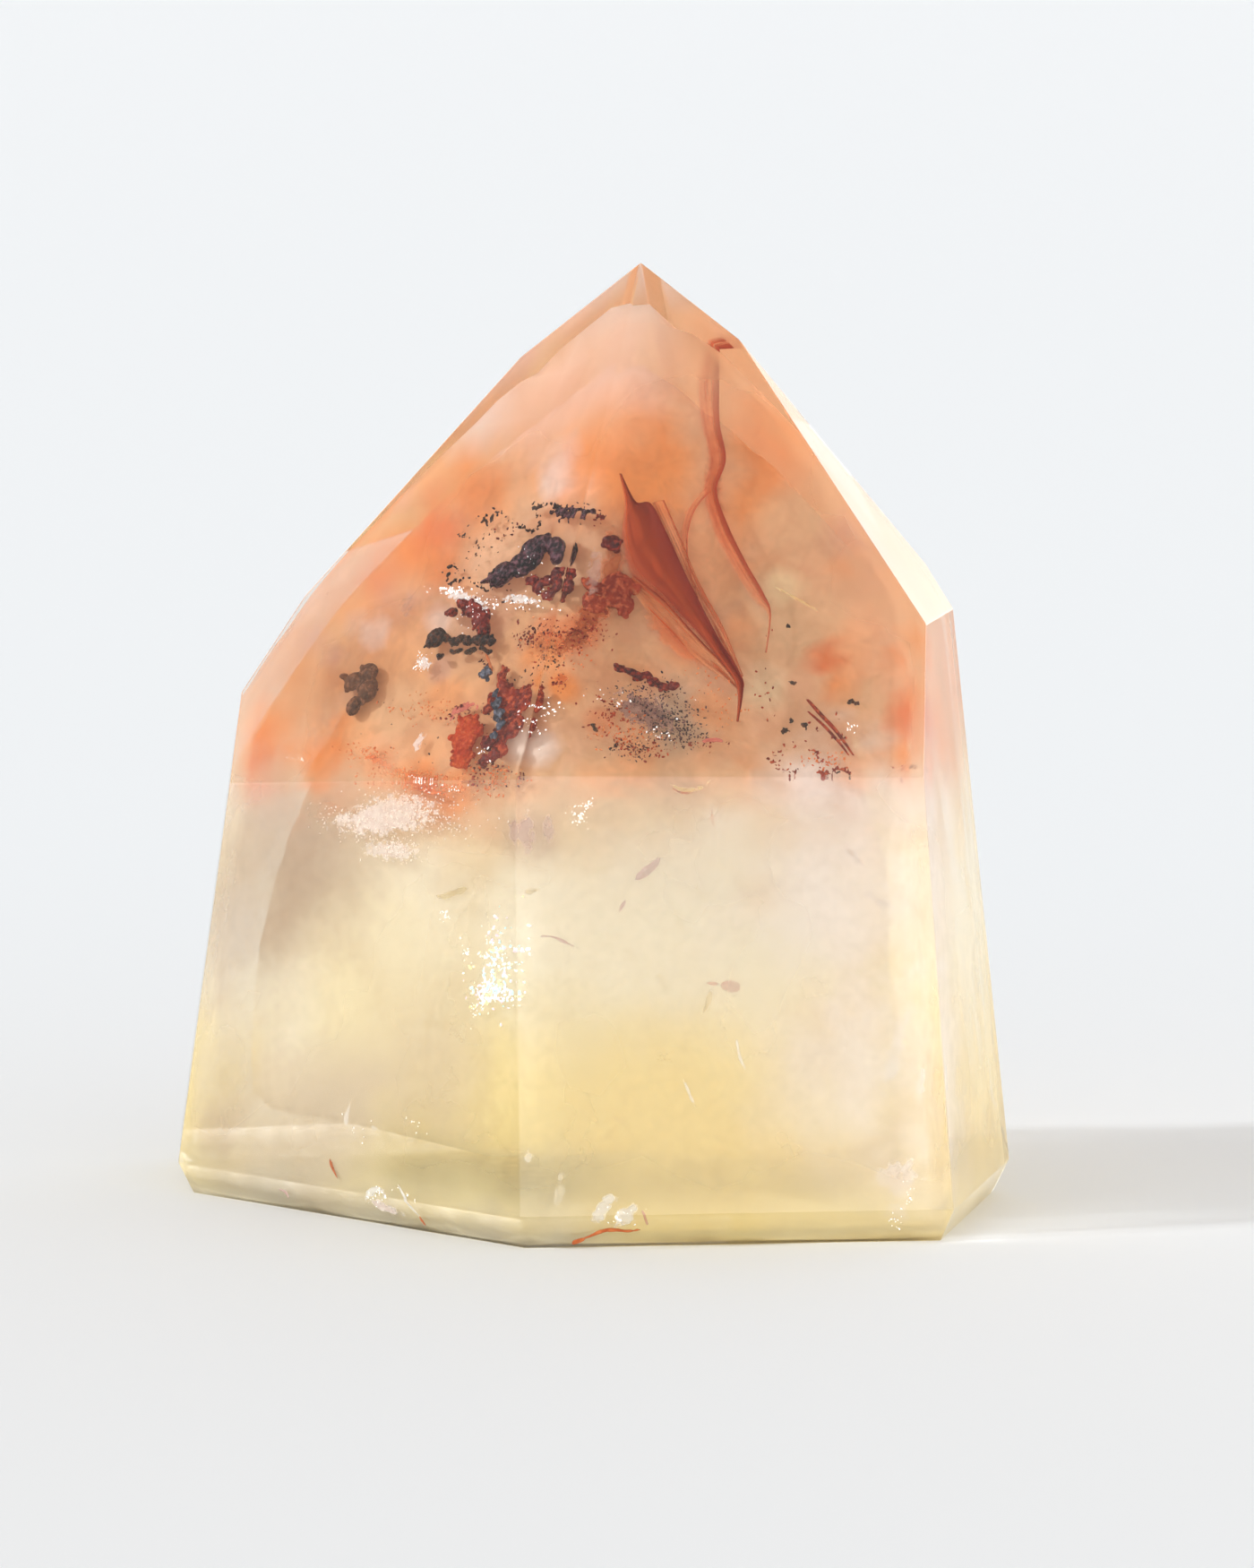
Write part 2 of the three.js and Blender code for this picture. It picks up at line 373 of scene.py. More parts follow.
def grindAlong(facet, level):
    # one pass on the lap: everything outside the facet comes off and the cut is closed
    normal, point = facetPlane(facet, level)
    bpy.ops.mesh.select_all(action="SELECT")
    bpy.ops.mesh.bisect(
        plane_co=point * mm,
        plane_no=normal,
        use_fill=True,
        clear_outer=True,
        threshold=1e-7,
    )


def grindPoint(name):
    # a rough block ground down to the stone's facets
    deselectAll()
    blank = stone["blank"] * mm
    bpy.ops.mesh.primitive_cube_add(size=blank, location=(0, 0, blank / 2))
    piece = bpy.context.object
    piece.name = name
    freeze(piece)
    bpy.ops.object.mode_set(mode="EDIT")
    for facet in stone["bodyFacets"].values():
        grindAlong(facet, stone["footLevel"])
        grindAlong(bevelFacet(facet), stone["footLevel"])
    for facet in stone["tipFacets"].values():
        grindAlong(facet, stone["shoulderLevel"])
    bpy.ops.mesh.select_all(action="SELECT")
    bpy.ops.mesh.remove_doubles(threshold=1e-6)
    bpy.ops.mesh.normals_make_consistent(inside=False)
    bpy.ops.object.mode_set(mode="OBJECT")
    return piece


def roundEdges(piece):
    bevel = piece.modifiers.new("edgeRound", "BEVEL")
    bevel.width = stone["edgeRound"] * mm
    bevel.segments = 2
    bevel.limit_method = "ANGLE"
    bevel.angle_limit = math.radians(3)
    applyModifiers(piece)


def quartzFinish():
    material, nodes, links, shader = newFinish("citrineQuartz")
    shader.inputs["Base Color"].default_value = (*stone["surfaceTint"], 1.0)
    shader.inputs["Roughness"].default_value = stone["roughness"]
    shader.inputs["IOR"].default_value = stone["refraction"]
    shader.inputs["Transmission Weight"].default_value = 1.0
    absorb = nodes.new("ShaderNodeVolumeAbsorption")
    absorb.inputs["Color"].default_value = (*stone["depthTint"], 1.0)
    absorb.inputs["Density"].default_value = stone["depthDensity"]
    links.new(absorb.outputs["Volume"], nodes["Material Output"].inputs["Volume"])
    return material


crystal = grindPoint("crystal")
roundEdges(crystal)
crystal.data.materials.append(quartzFinish())
crystal.visible_shadow = False   # light falls through the clear stone onto what lies in it
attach(crystal, "root")
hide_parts("crystal_front", "crystal_back")


print("haze inside the stone")


cloudInputs = ("Scale", "Detail", "Warp", "From", "To")


def buildCloudField():
    # clouds in space: a distorted noise cut to a mask between two levels
    group = bpy.data.node_groups.new("cloudField", "ShaderNodeTree")
    sockets = group.interface
    sockets.new_socket(name="Place", in_out="INPUT", socket_type="NodeSocketVector")
    for label in cloudInputs:
        sockets.new_socket(name=label, in_out="INPUT", socket_type="NodeSocketFloat")
    sockets.new_socket(name="Mask", in_out="OUTPUT", socket_type="NodeSocketFloat")
    nodes = group.nodes
    links = group.links
    into = nodes.new("NodeGroupInput")
    out = nodes.new("NodeGroupOutput")
    cloud = nodes.new("ShaderNodeTexNoise")
    cut = nodes.new("ShaderNodeMapRange")
    cut.interpolation_type = "SMOOTHSTEP"
    links.new(into.outputs["Place"], cloud.inputs["Vector"])
    links.new(into.outputs["Scale"], cloud.inputs["Scale"])
    links.new(into.outputs["Detail"], cloud.inputs["Detail"])
    links.new(into.outputs["Warp"], cloud.inputs["Distortion"])
    links.new(cloud.outputs["Fac"], cut.inputs["Value"])
    links.new(into.outputs["From"], cut.inputs["From Min"])
    links.new(into.outputs["To"], cut.inputs["From Max"])
    links.new(cut.outputs["Result"], out.inputs["Mask"])
    return group


cloudField = buildCloudField()


def addCloud(nodes, links, place, scale, detail, warp, low, high):
    cloud = nodes.new("ShaderNodeGroup")
    cloud.node_tree = cloudField
    links.new(place, cloud.inputs["Place"])
    for label, value in zip(cloudInputs, (scale, detail, warp, low, high)):
        cloud.inputs[label].default_value = value
    return cloud.outputs["Mask"]


def smooth(value, low, high):
    part = min(max((value - low) / (high - low), 0.0), 1.0)
    return part * part * (3.0 - 2.0 * part)


def cloudAt(place, size, seed, octaves=3):
    # soft noise from 0 to 1, its lumps about size millimetres across
    moved = place / size + Vector((seed * 3.7, seed * 1.1, seed * 2.3))
    bend = noise.noise_vector(moved * 0.5) * 0.9
    total = 0.0
    weight = 1.0
    reach = 0.0
    for octave in range(octaves):
        total += noise.noise((moved + bend) * 2.0 ** octave) * weight
        reach += weight
        weight *= 0.5
    return min(max(0.5 + 0.85 * total / reach, 0.0), 1.0)


# Colours seen inside the stone, shared by its hazes.
hues = {
    "milk": paint(255, 248, 226),
    "cream": paint(255, 243, 204),
    "straw": paint(255, 240, 192),
    "honey": paint(255, 236, 170),
    "tan": paint(246, 224, 184),
    "smoke": paint(206, 184, 158),
    "blush": paint(251, 213, 192),
    "peach": paint(248, 200, 160),
    "salmon": paint(249, 180, 128),
    "orange": paint(247, 156, 88),
    "rust": paint(234, 128, 74),
    "mauve": paint(200, 160, 150),
    "sand": paint(230, 190, 148),
    "white": paint(255, 248, 242),
    "clay": paint(240, 180, 128),
    # a darker hue painted on the hazes' undersides as shade
    "paintedUndersideShade": paint(234, 224, 196),
    "umber": paint(224, 162, 112),
    # a duller tone for the left facets, partly painted shade against the sun
    "ashAndLeftShade": paint(236, 220, 194),
}

# What the hazes hold where, laid over each other in this order. Each facet has its spots: across,
# up and radius in millimetres, then the hue and how strongly.
hazeSpots = {
    "body": (
        # ash and smoke spots darken the left facets: partly the stone's own duller tone, partly painted shade
        # that keeps the sunlit left side darker than the front
        ("frontLeft", (
            (-17, -13, 15, "ashAndLeftShade", 0.85), (-25, -12, 8, "smoke", 0.9), (-18, -23, 9, "ashAndLeftShade", 0.9),
        )),
        ("front", (
            (10.5, -9.5, 9, "milk", 0.95), (1.5, -9, 5, "milk", 0.9), (18, -7.5, 5, "milk", 0.7),
            (14, -4, 3, "milk", 0.6),
        )),
        ("frontLeft", (
            (-9, -9.5, 6, "milk", 0.8), (-15, -17, 5, "cream", 0.8),
        )),
        ("front", (
            (10, -24, 11, "honey", 0.9), (22, -17, 6, "tan", 0.8), (24.5, -10, 6, "tan", 0.7),
            (24.5, -18.5, 3, "cream", 0.8), (0, -21, 6, "honey", 0.7),
        )),
        # more ash and smoke on the left facet: the same duller tone and painted shade
        ("frontLeft", (
            (-7, -20, 6, "ashAndLeftShade", 0.6), (-21, -6, 5.5, "smoke", 1), (-24, -11, 3.5, "smoke", 1),
            (-21.5, -3, 2.2, "mauve", 0.5), (-24.5, -25.5, 3.5, "smoke", 0.9),
            (-12, -13, 8, "cream", 0.5), (-15, -24, 7, "ashAndLeftShade", 0.7), (-20, -17, 5, "milk", 0.7),
        )),
        # smoke on the back left facet: the same duller tone and painted shade on the sunlit side
        ("backLeft", (
            (-10, -8, 9, "smoke", 1), (0, -8, 9, "tan", 0.8),
        )),
        ("front", (
            (1, -3.5, 2.4, "smoke", 0.8), (16, -7.6, 2, "tan", 0.8), (23.5, -5.5, 3, "tan", 0.8),
        )),
        # white spots brighten the haze behind the right facet: painted light for the bright room seen through
        # that facet
        ("right", (
            (6, -8, 13, "white", 0.9), (6, -22, 11, "white", 0.8),
        )),
    ),
    "tip": (
        ("tipFrontLeft", (
            (-19, 7, 11, "clay", 0.85), (-8, 4, 8, "clay", 0.6), (-12, 22, 8, "clay", 0.4),
        )),
        ("tipFront", ((4, 9, 7, "clay", 0.5),)),
        ("tipFrontLeft", ((-20.5, 7, 7, "umber", 0.6),)),
        ("tipFront", (
            (17, 12.5, 5, "umber", 0.5), (17.5, 22, 5, "umber", 0.35), (7.5, 33.5, 4.5, "white", 0.7),
            (6, 28, 5, "clay", 0.4), (7.5, 29, 6, "blush", 0.8),
        )),
        ("tipFrontLeft", (
            (-10, 27, 5, "blush", 0.8), (-13.4, 24.8, 2.6, "white", 0.8),
            (-5.8, 21.8, 2.6, "white", 0.8), (-20, 19.5, 2.6, "white", 0.6),
        )),
        ("tipFront", (
            (8.5, 22, 5.5, "orange", 0.9), (8, 24.5, 2.6, "salmon", 0.8), (4, 19.5, 3, "orange", 0.6),
        )),
        ("tipFrontLeft", (
            (-12.5, 20, 3, "orange", 0.7), (-14.8, 17.2, 2.4, "rust", 0.8),
            (-16.8, 15.2, 2.4, "orange", 0.9), (-18.6, 13.2, 2.2, "rust", 0.5),
            (-16.6, 12.2, 1.8, "mauve", 0.4), (-14, 14.6, 1.8, "orange", 0.9),
            (-20.6, 8.4, 3.2, "sand", 0.7), (-20.6, 7.6, 1.2, "mauve", 0.6),
            (-10.9, 7.6, 1.3, "mauve", 0.5), (-10, 15.6, 3, "peach", 0.9),
            (-17.6, 9.6, 1.6, "white", 0.5), (-12.4, 11, 1.6, "white", 0.5),
            (-23.4, 1.6, 3, "orange", 0.8), (-23.6, -0.8, 2.6, "rust", 0.9),
            (-18.4, 0.4, 2.4, "orange", 1), (-18, 3.2, 1.5, "orange", 0.7),
            (-13.4, 0.4, 1.8, "orange", 0.7), (-9.6, -0.2, 1.8, "orange", 0.8),
            (-6.4, -0.4, 2, "orange", 0.8), (-20.4, 3.6, 3, "sand", 0.6), (-13.6, 4.4, 3, "sand", 0.6),
            (-9.8, 5.4, 2, "orange", 0.4), (-3.4, 9.6, 2, "orange", 0.8), (-1.6, 12, 1.8, "rust", 0.6),
            (-0.8, 7.4, 1.4, "orange", 0.9), (-2.2, 3.2, 1.8, "white", 0.6),
        )),
        ("tipFront", (
            (3.2, 7.2, 1.6, "orange", 1), (3.8, 10.6, 2.4, "rust", 0.7), (2.6, 13, 2, "sand", 0.8),
            (10.6, 4.8, 3, "smoke", 0.7), (12.9, 5.4, 1.8, "salmon", 0.9),
            (11.4, 9.6, 1.8, "salmon", 0.7), (15.2, 10.8, 1.6, "salmon", 0.9),
            (18.5, 24, 4.5, "orange", 0.8), (16.6, 19.6, 3, "orange", 0.7),
            (19.6, 18, 3.6, "sand", 0.8), (23, 17.4, 1.8, "mauve", 0.9),
            (24.4, 14.6, 1.6, "mauve", 0.8), (22.4, 15, 1.4, "orange", 0.6), (18.6, 11.6, 4, "sand", 1),
            (18.4, 13.8, 1.6, "straw", 0.6), (20.6, 8.6, 1.5, "rust", 0.9),
            (21.6, 6.6, 1.4, "orange", 0.9), (16.6, 6.6, 2.2, "tan", 0.7), (26, 8.8, 1.6, "orange", 1),
            (26, 4.6, 2, "rust", 1), (25.8, 1.4, 2, "orange", 1), (23.2, 6, 2, "sand", 0.8),
            (22.4, 1.2, 1.8, "salmon", 0.7), (5.6, 4.6, 1.4, "rust", 0.5),
        )),
        ("tipRight", (
            (4, 4, 9, "smoke", 0.8), (2, 16, 9, "blush", 0.8),
        )),
        # white spots brighten the top of the right facet: the same painted light of the bright room seen
        # through it
        ("right", (
            (5, 6, 8, "white", 1), (4, 0, 6, "white", 0.8),
        )),
        ("tipShoulder", (
            (0, 8, 9, "sand", 0.8), (-8, 3, 5, "orange", 0.7),
        )),
    ),
}

hazes = {
    "skinHaze": {
        "inset": 0.8, "tipInset": 0.8, "foot": 0.3, "detail": 5, "roundness": 60.0, "swell": 0.0,
        "seed": 6.0, "cloudSize": 8.0, "body": (0.1, 0.34), "tip": (0.35, 0.6), "crown": 0.5,
        "hem": 0.6, "spotShare": 0.3, "window": 0.95, "wisps": False,
    },
    "outerHaze": {
        "inset": 2.2, "tipInset": 3.4, "foot": 1.2, "detail": 6, "roundness": 60.0, "swell": 0.0,
        "seed": 2.0, "cloudSize": 6.0, "body": (0.15, 0.55), "tip": (0.5, 0.9), "crown": 0.0,
        "hem": 0.0, "spotShare": 0.6, "window": 0.0, "wisps": True,
    },
    "innerHaze": {
        "inset": 6.0, "tipInset": 7.5, "foot": 4.5, "detail": 5, "roundness": 14.0, "swell": 1.0,
        "seed": 3.0, "cloudSize": 10.0, "body": (0.8, 0.98), "tip": (0.9, 1), "crown": 0.0, "hem": 0.0,
        "spotShare": 0.8, "window": 0.0, "wisps": False,
    },
}
hazeHeart = Vector((0.0, 0.0, 26.0))

# Heights in millimetres between which each change of colour or thickness runs, from none to full.
hazeLevels = {
    "tip": (26.5, 30.5),
    "tan": (20.0, 27.0),
    "honey": (18.0, 8.0),
    "straw": (5.0, 1.0),
    "crown": (50.0, 58.0),
    "hem": (6.0, 2.5),
}

# How far above its foot a haze turns dense and takes a painted shade, and between which places along x the
# painted shade lies.
undersides = {
    "from": 0.8,
    "full": 0.2,
    "leftOf": (4.0, -4.0),
    "cover": 0.8,
}

# Clear windows in the thinnest haze, through which the minerals are seen: facet, across, up, radius.
clearWindows = (
    ("tipFrontLeft", -6.5, 16.0, 8.0),
    ("tipFrontLeft", -7.5, 8.0, 9.0),
    ("tipFrontLeft", -14.5, 5.5, 6.5),
    ("tipFrontLeft", -4.0, 2.0, 7.0),
    ("tipFront", 6.0, 13.0, 9.5),
    ("tipFront", 9.0, 5.5, 9.0),
    ("tipFront", 13.0, 13.0, 8.5),
    ("tipFront", 19.0, 4.5, 7.5),
    ("tipFront", 12.5, 22.0, 7.0),
    ("tipRight", 4.0, 2.0, 9.0),
    ("tipRight", 2.0, 14.0, 8.0),
)


def hazeFinish(name, haze):
    # tint and thickness were laid on the mesh; fine wisps break up the layer that is seen best
    material, nodes, links, shader = newFinish(name + "Finish")
    tint = nodes.new("ShaderNodeAttribute")
    tint.attribute_name = "tint"
    thick = nodes.new("ShaderNodeAttribute")
    thick.attribute_name = "thick"
    links.new(tint.outputs["Color"], shader.inputs["Base Color"])
    if haze["wisps"]:
        place = placeInMillimetres(nodes, links, 4.0)
        wisps = addCloud(nodes, links, place, scale=0.6, detail=3.0, warp=0.5, low=0.25, high=0.75)
        share = mapValue(nodes, links, wisps, 0.0, 1.0, 0.86, 1.1)
        links.new(combine(nodes, links, "MULTIPLY", thick.outputs["Fac"], share), shader.inputs["Alpha"])
    else:
        links.new(thick.outputs["Fac"], shader.inputs["Alpha"])
    shader.inputs["Roughness"].default_value = 1.0
    shader.inputs["Specular IOR Level"].default_value = 0.0
    return material


def mixHues(first, second, part):
    return tuple(a + (b - a) * part for a, b in zip(first, second))


def layTint(piece, haze):
    # each point takes the hue of its height and of the spots near it
    mesh = piece.data
    mesh.attributes.new("tint", "FLOAT_COLOR", "POINT")
    mesh.attributes.new("thick", "FLOAT", "POINT")
    tints = mesh.attributes["tint"].data
    thicks = mesh.attributes["thick"].data
    spots = []
    for zone, inset in (("body", haze["inset"]), ("tip", haze["tipInset"])):
        for facetName, marks in hazeSpots[zone]:
            for across, up, radius, hue, amount in marks:
                spots.append((spotOn(facetName, across, up, inset), radius, hues[hue], amount))
    windows = [(spotOn(*window[:3], haze["tipInset"]), window[3]) for window in clearWindows]
    for vertex in mesh.vertices:
        place = vertex.co / mm
        cloud = cloudAt(place, haze["cloudSize"], haze["seed"])
        other = cloudAt(place, haze["cloudSize"] * 0.5, haze["seed"] + 9.0)
        inTip = smooth(place.z + (other - 0.5) * 3.0, *hazeLevels["tip"])
        bodyHue = mixHues(hues["milk"], hues["cream"], other)
        bodyHue = mixHues(bodyHue, hues["tan"], smooth(place.z, *hazeLevels["tan"]))
        sunken = smooth(place.z + (cloud - 0.5) * 4.0, *hazeLevels["honey"])
        bodyHue = mixHues(bodyHue, hues["honey"], sunken * 0.9)
        bodyHue = mixHues(bodyHue, hues["straw"], smooth(place.z, *hazeLevels["straw"]) * 0.8)
        tipHue = mixHues(hues["peach"], hues["sand"], smooth(other, 0.3, 0.7) * 0.7)
        tipHue = mixHues(tipHue, hues["salmon"], smooth(cloud, 0.45, 0.8) * 0.8)
        tint = mixHues(bodyHue, tipHue, inTip)
        least = haze["body"][0] + (haze["tip"][0] - haze["body"][0]) * inTip
        most = haze["body"][1] + (haze["tip"][1] - haze["body"][1]) * inTip
        thick = least + (most - least) * smooth(cloud, 0.25, 0.75)
        for centre, radius in windows:
            away = (place - centre).length / radius
            thick *= 1.0 - haze["window"] * smooth(away, 1.0, 0.7)
        for centre, radius, hue, amount in spots:
            away = (place - centre).length / radius
            if away < 1.3:
                part = smooth(1.0 - away + (other - 0.5) * 0.6, 0.0, 0.6) * amount
                tint = mixHues(tint, hue, part)
                thick += (most - thick) * part * haze["spotShare"] * (1.0 - haze["window"])
        crown = haze["crown"] * smooth(place.z, *hazeLevels["crown"])
        hem = haze["hem"] * smooth(place.z, *hazeLevels["hem"])
        thick = max(thick, crown, hem)
        # the undersides are dense, and on the left darkened with painted shade, or the sunlit paper would
        # shine through them
        below = smooth(place.z, haze["foot"] + undersides["from"], haze["foot"] + undersides["full"])
        tint = mixHues(tint, hues["paintedUndersideShade"], below * smooth(place.x, *undersides["leftOf"]))
        thick = max(thick, below * undersides["cover"])
        tints[vertex.index].color = tint
        thicks[vertex.index].value = thick


def facetLimits(haze):
    # the haze's own facets: a normal and how far out it lies
    limits = [(Vector((0.0, 0.0, -1.0)), -haze["foot"])]
    zones = (("bodyFacets", "footLevel", "inset"), ("tipFacets", "shoulderLevel", "tipInset"))
    for facets, level, inset in zones:
        for facet in stone[facets].values():
            normal, point = facetPlane(facet, stone[level])
            limits.append((normal, normal.dot(point) - haze[inset]))
    return [(normal, limit - normal.dot(hazeHeart)) for normal, limit in limits]


def makeHaze(name, haze):
    # a cloudy zone that follows the stone's facets, as growth zones do: a ball drawn in onto them
    deselectAll()
    bpy.ops.mesh.primitive_ico_sphere_add(subdivisions=haze["detail"], radius=1.0)
    piece = bpy.context.object
    piece.name = name
    limits = facetLimits(haze)
    power = haze["roundness"]
    for vertex in piece.data.vertices:
        way = vertex.co.normalized()
        nearness = sum((max(normal.dot(way), 0.0) / limit) ** power for normal, limit in limits)
        reach = nearness ** (-1.0 / power)
        lump = noise.noise((way * reach + hazeHeart) / 9.0 + Vector((haze["seed"], 0.0, 0.0)))
        vertex.co = (hazeHeart + way * (reach + lump * haze["swell"])) * mm
    bpy.ops.object.shade_smooth()
    layTint(piece, haze)
    piece.data.materials.append(hazeFinish(name, haze))
    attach(piece, "root")


for hazeName, haze in hazes.items():
    makeHaze(hazeName, haze)


print("minerals")


def mineralFinish(name, colors, seed, roughness, glint):
    # a dark, a middle and a light tone in grains of about a third of a millimetre
    material, nodes, links, shader = newFinish(name)
    place = placeInMillimetres(nodes, links, seed)
    broad = addCloud(nodes, links, place, scale=0.7, detail=4.0, warp=0.5, low=0.35, high=0.65)
    fine = addCloud(nodes, links, place, scale=3.2, detail=3.0, warp=0.1, low=0.45, high=0.7)
    color = blendColors(nodes, links, broad, colors[0], colors[1])
    color = blendColors(nodes, links, fine, color, colors[2])
    links.new(color, shader.inputs["Base Color"])
    links.new(mapValue(nodes, links, fine, 0.0, 1.0, roughness, roughness * 0.5), shader.inputs["Roughness"])
    shader.inputs["Specular IOR Level"].default_value = glint
    bump = nodes.new("ShaderNodeBump")
    bump.inputs["Strength"].default_value = 0.5
    bump.inputs["Distance"].default_value = 0.05 * mm
    links.new(fine, bump.inputs["Height"])
    links.new(bump.outputs["Normal"], shader.inputs["Normal"])
    return material


finishes = {
    "violet": mineralFinish(
        "violetHematite", (paint(16, 8, 12), paint(58, 28, 38), paint(122, 82, 92)), 5.0, 0.4, 0.25,
    ),
    "black": mineralFinish(
        "blackCrust", (paint(6, 5, 5), paint(28, 16, 12), paint(96, 56, 38)), 6.0, 0.4, 0.25,
    ),
    "maroon": mineralFinish(
        "maroonHematite", (paint(60, 10, 8), paint(116, 28, 18), paint(168, 66, 48)), 7.0, 0.4, 0.25,
    ),
    "red": mineralFinish(
        "redHematite", (paint(96, 20, 6), paint(156, 46, 18), paint(202, 88, 48)), 8.0, 0.5, 0.2,
    ),
    "brick": mineralFinish(
        "brickOxide", (paint(134, 42, 18), paint(166, 60, 28), paint(196, 94, 56)), 9.0, 0.6, 0.15,
    ),
    "rust": mineralFinish(
        "rustOxide", (paint(166, 46, 10), paint(192, 66, 18), paint(212, 96, 44)), 10.0, 0.55, 0.15,
    ),
    "brown": mineralFinish(
        "brownOxide", (paint(66, 42, 32), paint(100, 66, 48), paint(134, 90, 64)), 11.0, 0.6, 0.15,
    ),
    "blue": mineralFinish(
        "blueSlate", (paint(36, 38, 48), paint(66, 72, 88), paint(116, 122, 138)), 12.0, 0.4, 0.3,
    ),
}


def addTexture(name, kind, size):
    texture = bpy.data.textures.new(name, kind)
    texture.noise_scale = size
    return texture


coarseLumps = addTexture("coarseLumps", "CLOUDS", 0.55)
fineLumps = addTexture("fineLumps", "VORONOI", 0.3)


def roughen(piece, voxel, coarse, fine):
    # knobs melt into one skin, which is then pushed in and out
    remesh = piece.modifiers.new("oneSkin", "REMESH")
    remesh.mode = "VOXEL"
    remesh.voxel_size = voxel
    for label, texture, strength in (("coarse", coarseLumps, coarse), ("fine", fineLumps, fine)):
        push = piece.modifiers.new(label, "DISPLACE")
        push.texture = texture
        push.texture_coords = "GLOBAL"
        push.strength = strength
    applyModifiers(piece)
    bpy.ops.object.shade_flat()


def growLump(name, lump):
    # each knob is across, up and its half sizes across and up, in millimetres
    draw = random.Random(lump["seed"])
    deselectAll()
    knobs = []
    for across, up, wide, tall in lump["knobs"]:
        bpy.ops.mesh.primitive_ico_sphere_add(subdivisions=3, radius=1.0, location=(across, up, 0.0))
        knob = bpy.context.object
        knob.scale = (wide, tall, lump["thick"] * draw.uniform(0.7, 1.1))
        knob.rotation_euler = (draw.uniform(-0.3, 0.3), draw.uniform(-0.3, 0.3), draw.uniform(-0.5, 0.5))
        knobs.append(knob)
    for number in range(lump["crumbs"]):
        across, up, wide, tall = draw.choice(lump["knobs"])
        way = draw.uniform(0.0, 2.0 * math.pi)
        size = draw.uniform(0.08, 0.24)
        reach = draw.uniform(0.85, 1.15)
        right = across + wide * reach * math.cos(way)
        above = up + tall * reach * math.sin(way)
        spot = (right, above, draw.uniform(-0.3, 0.3))
        bpy.ops.mesh.primitive_ico_sphere_add(subdivisions=2, radius=size, location=spot)
        knobs.append(bpy.context.object)
    piece = joinAll(knobs, name)
    freeze(piece)
    roughen(piece, lump["voxel"], lump["coarse"], lump["fine"])
    layIn(piece, lump["facet"], *lump["place"])
    piece.data.materials.append(finishes[lump["finish"]])
    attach(piece, "root")
    if "node" in lump:
        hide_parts(lump["node"])


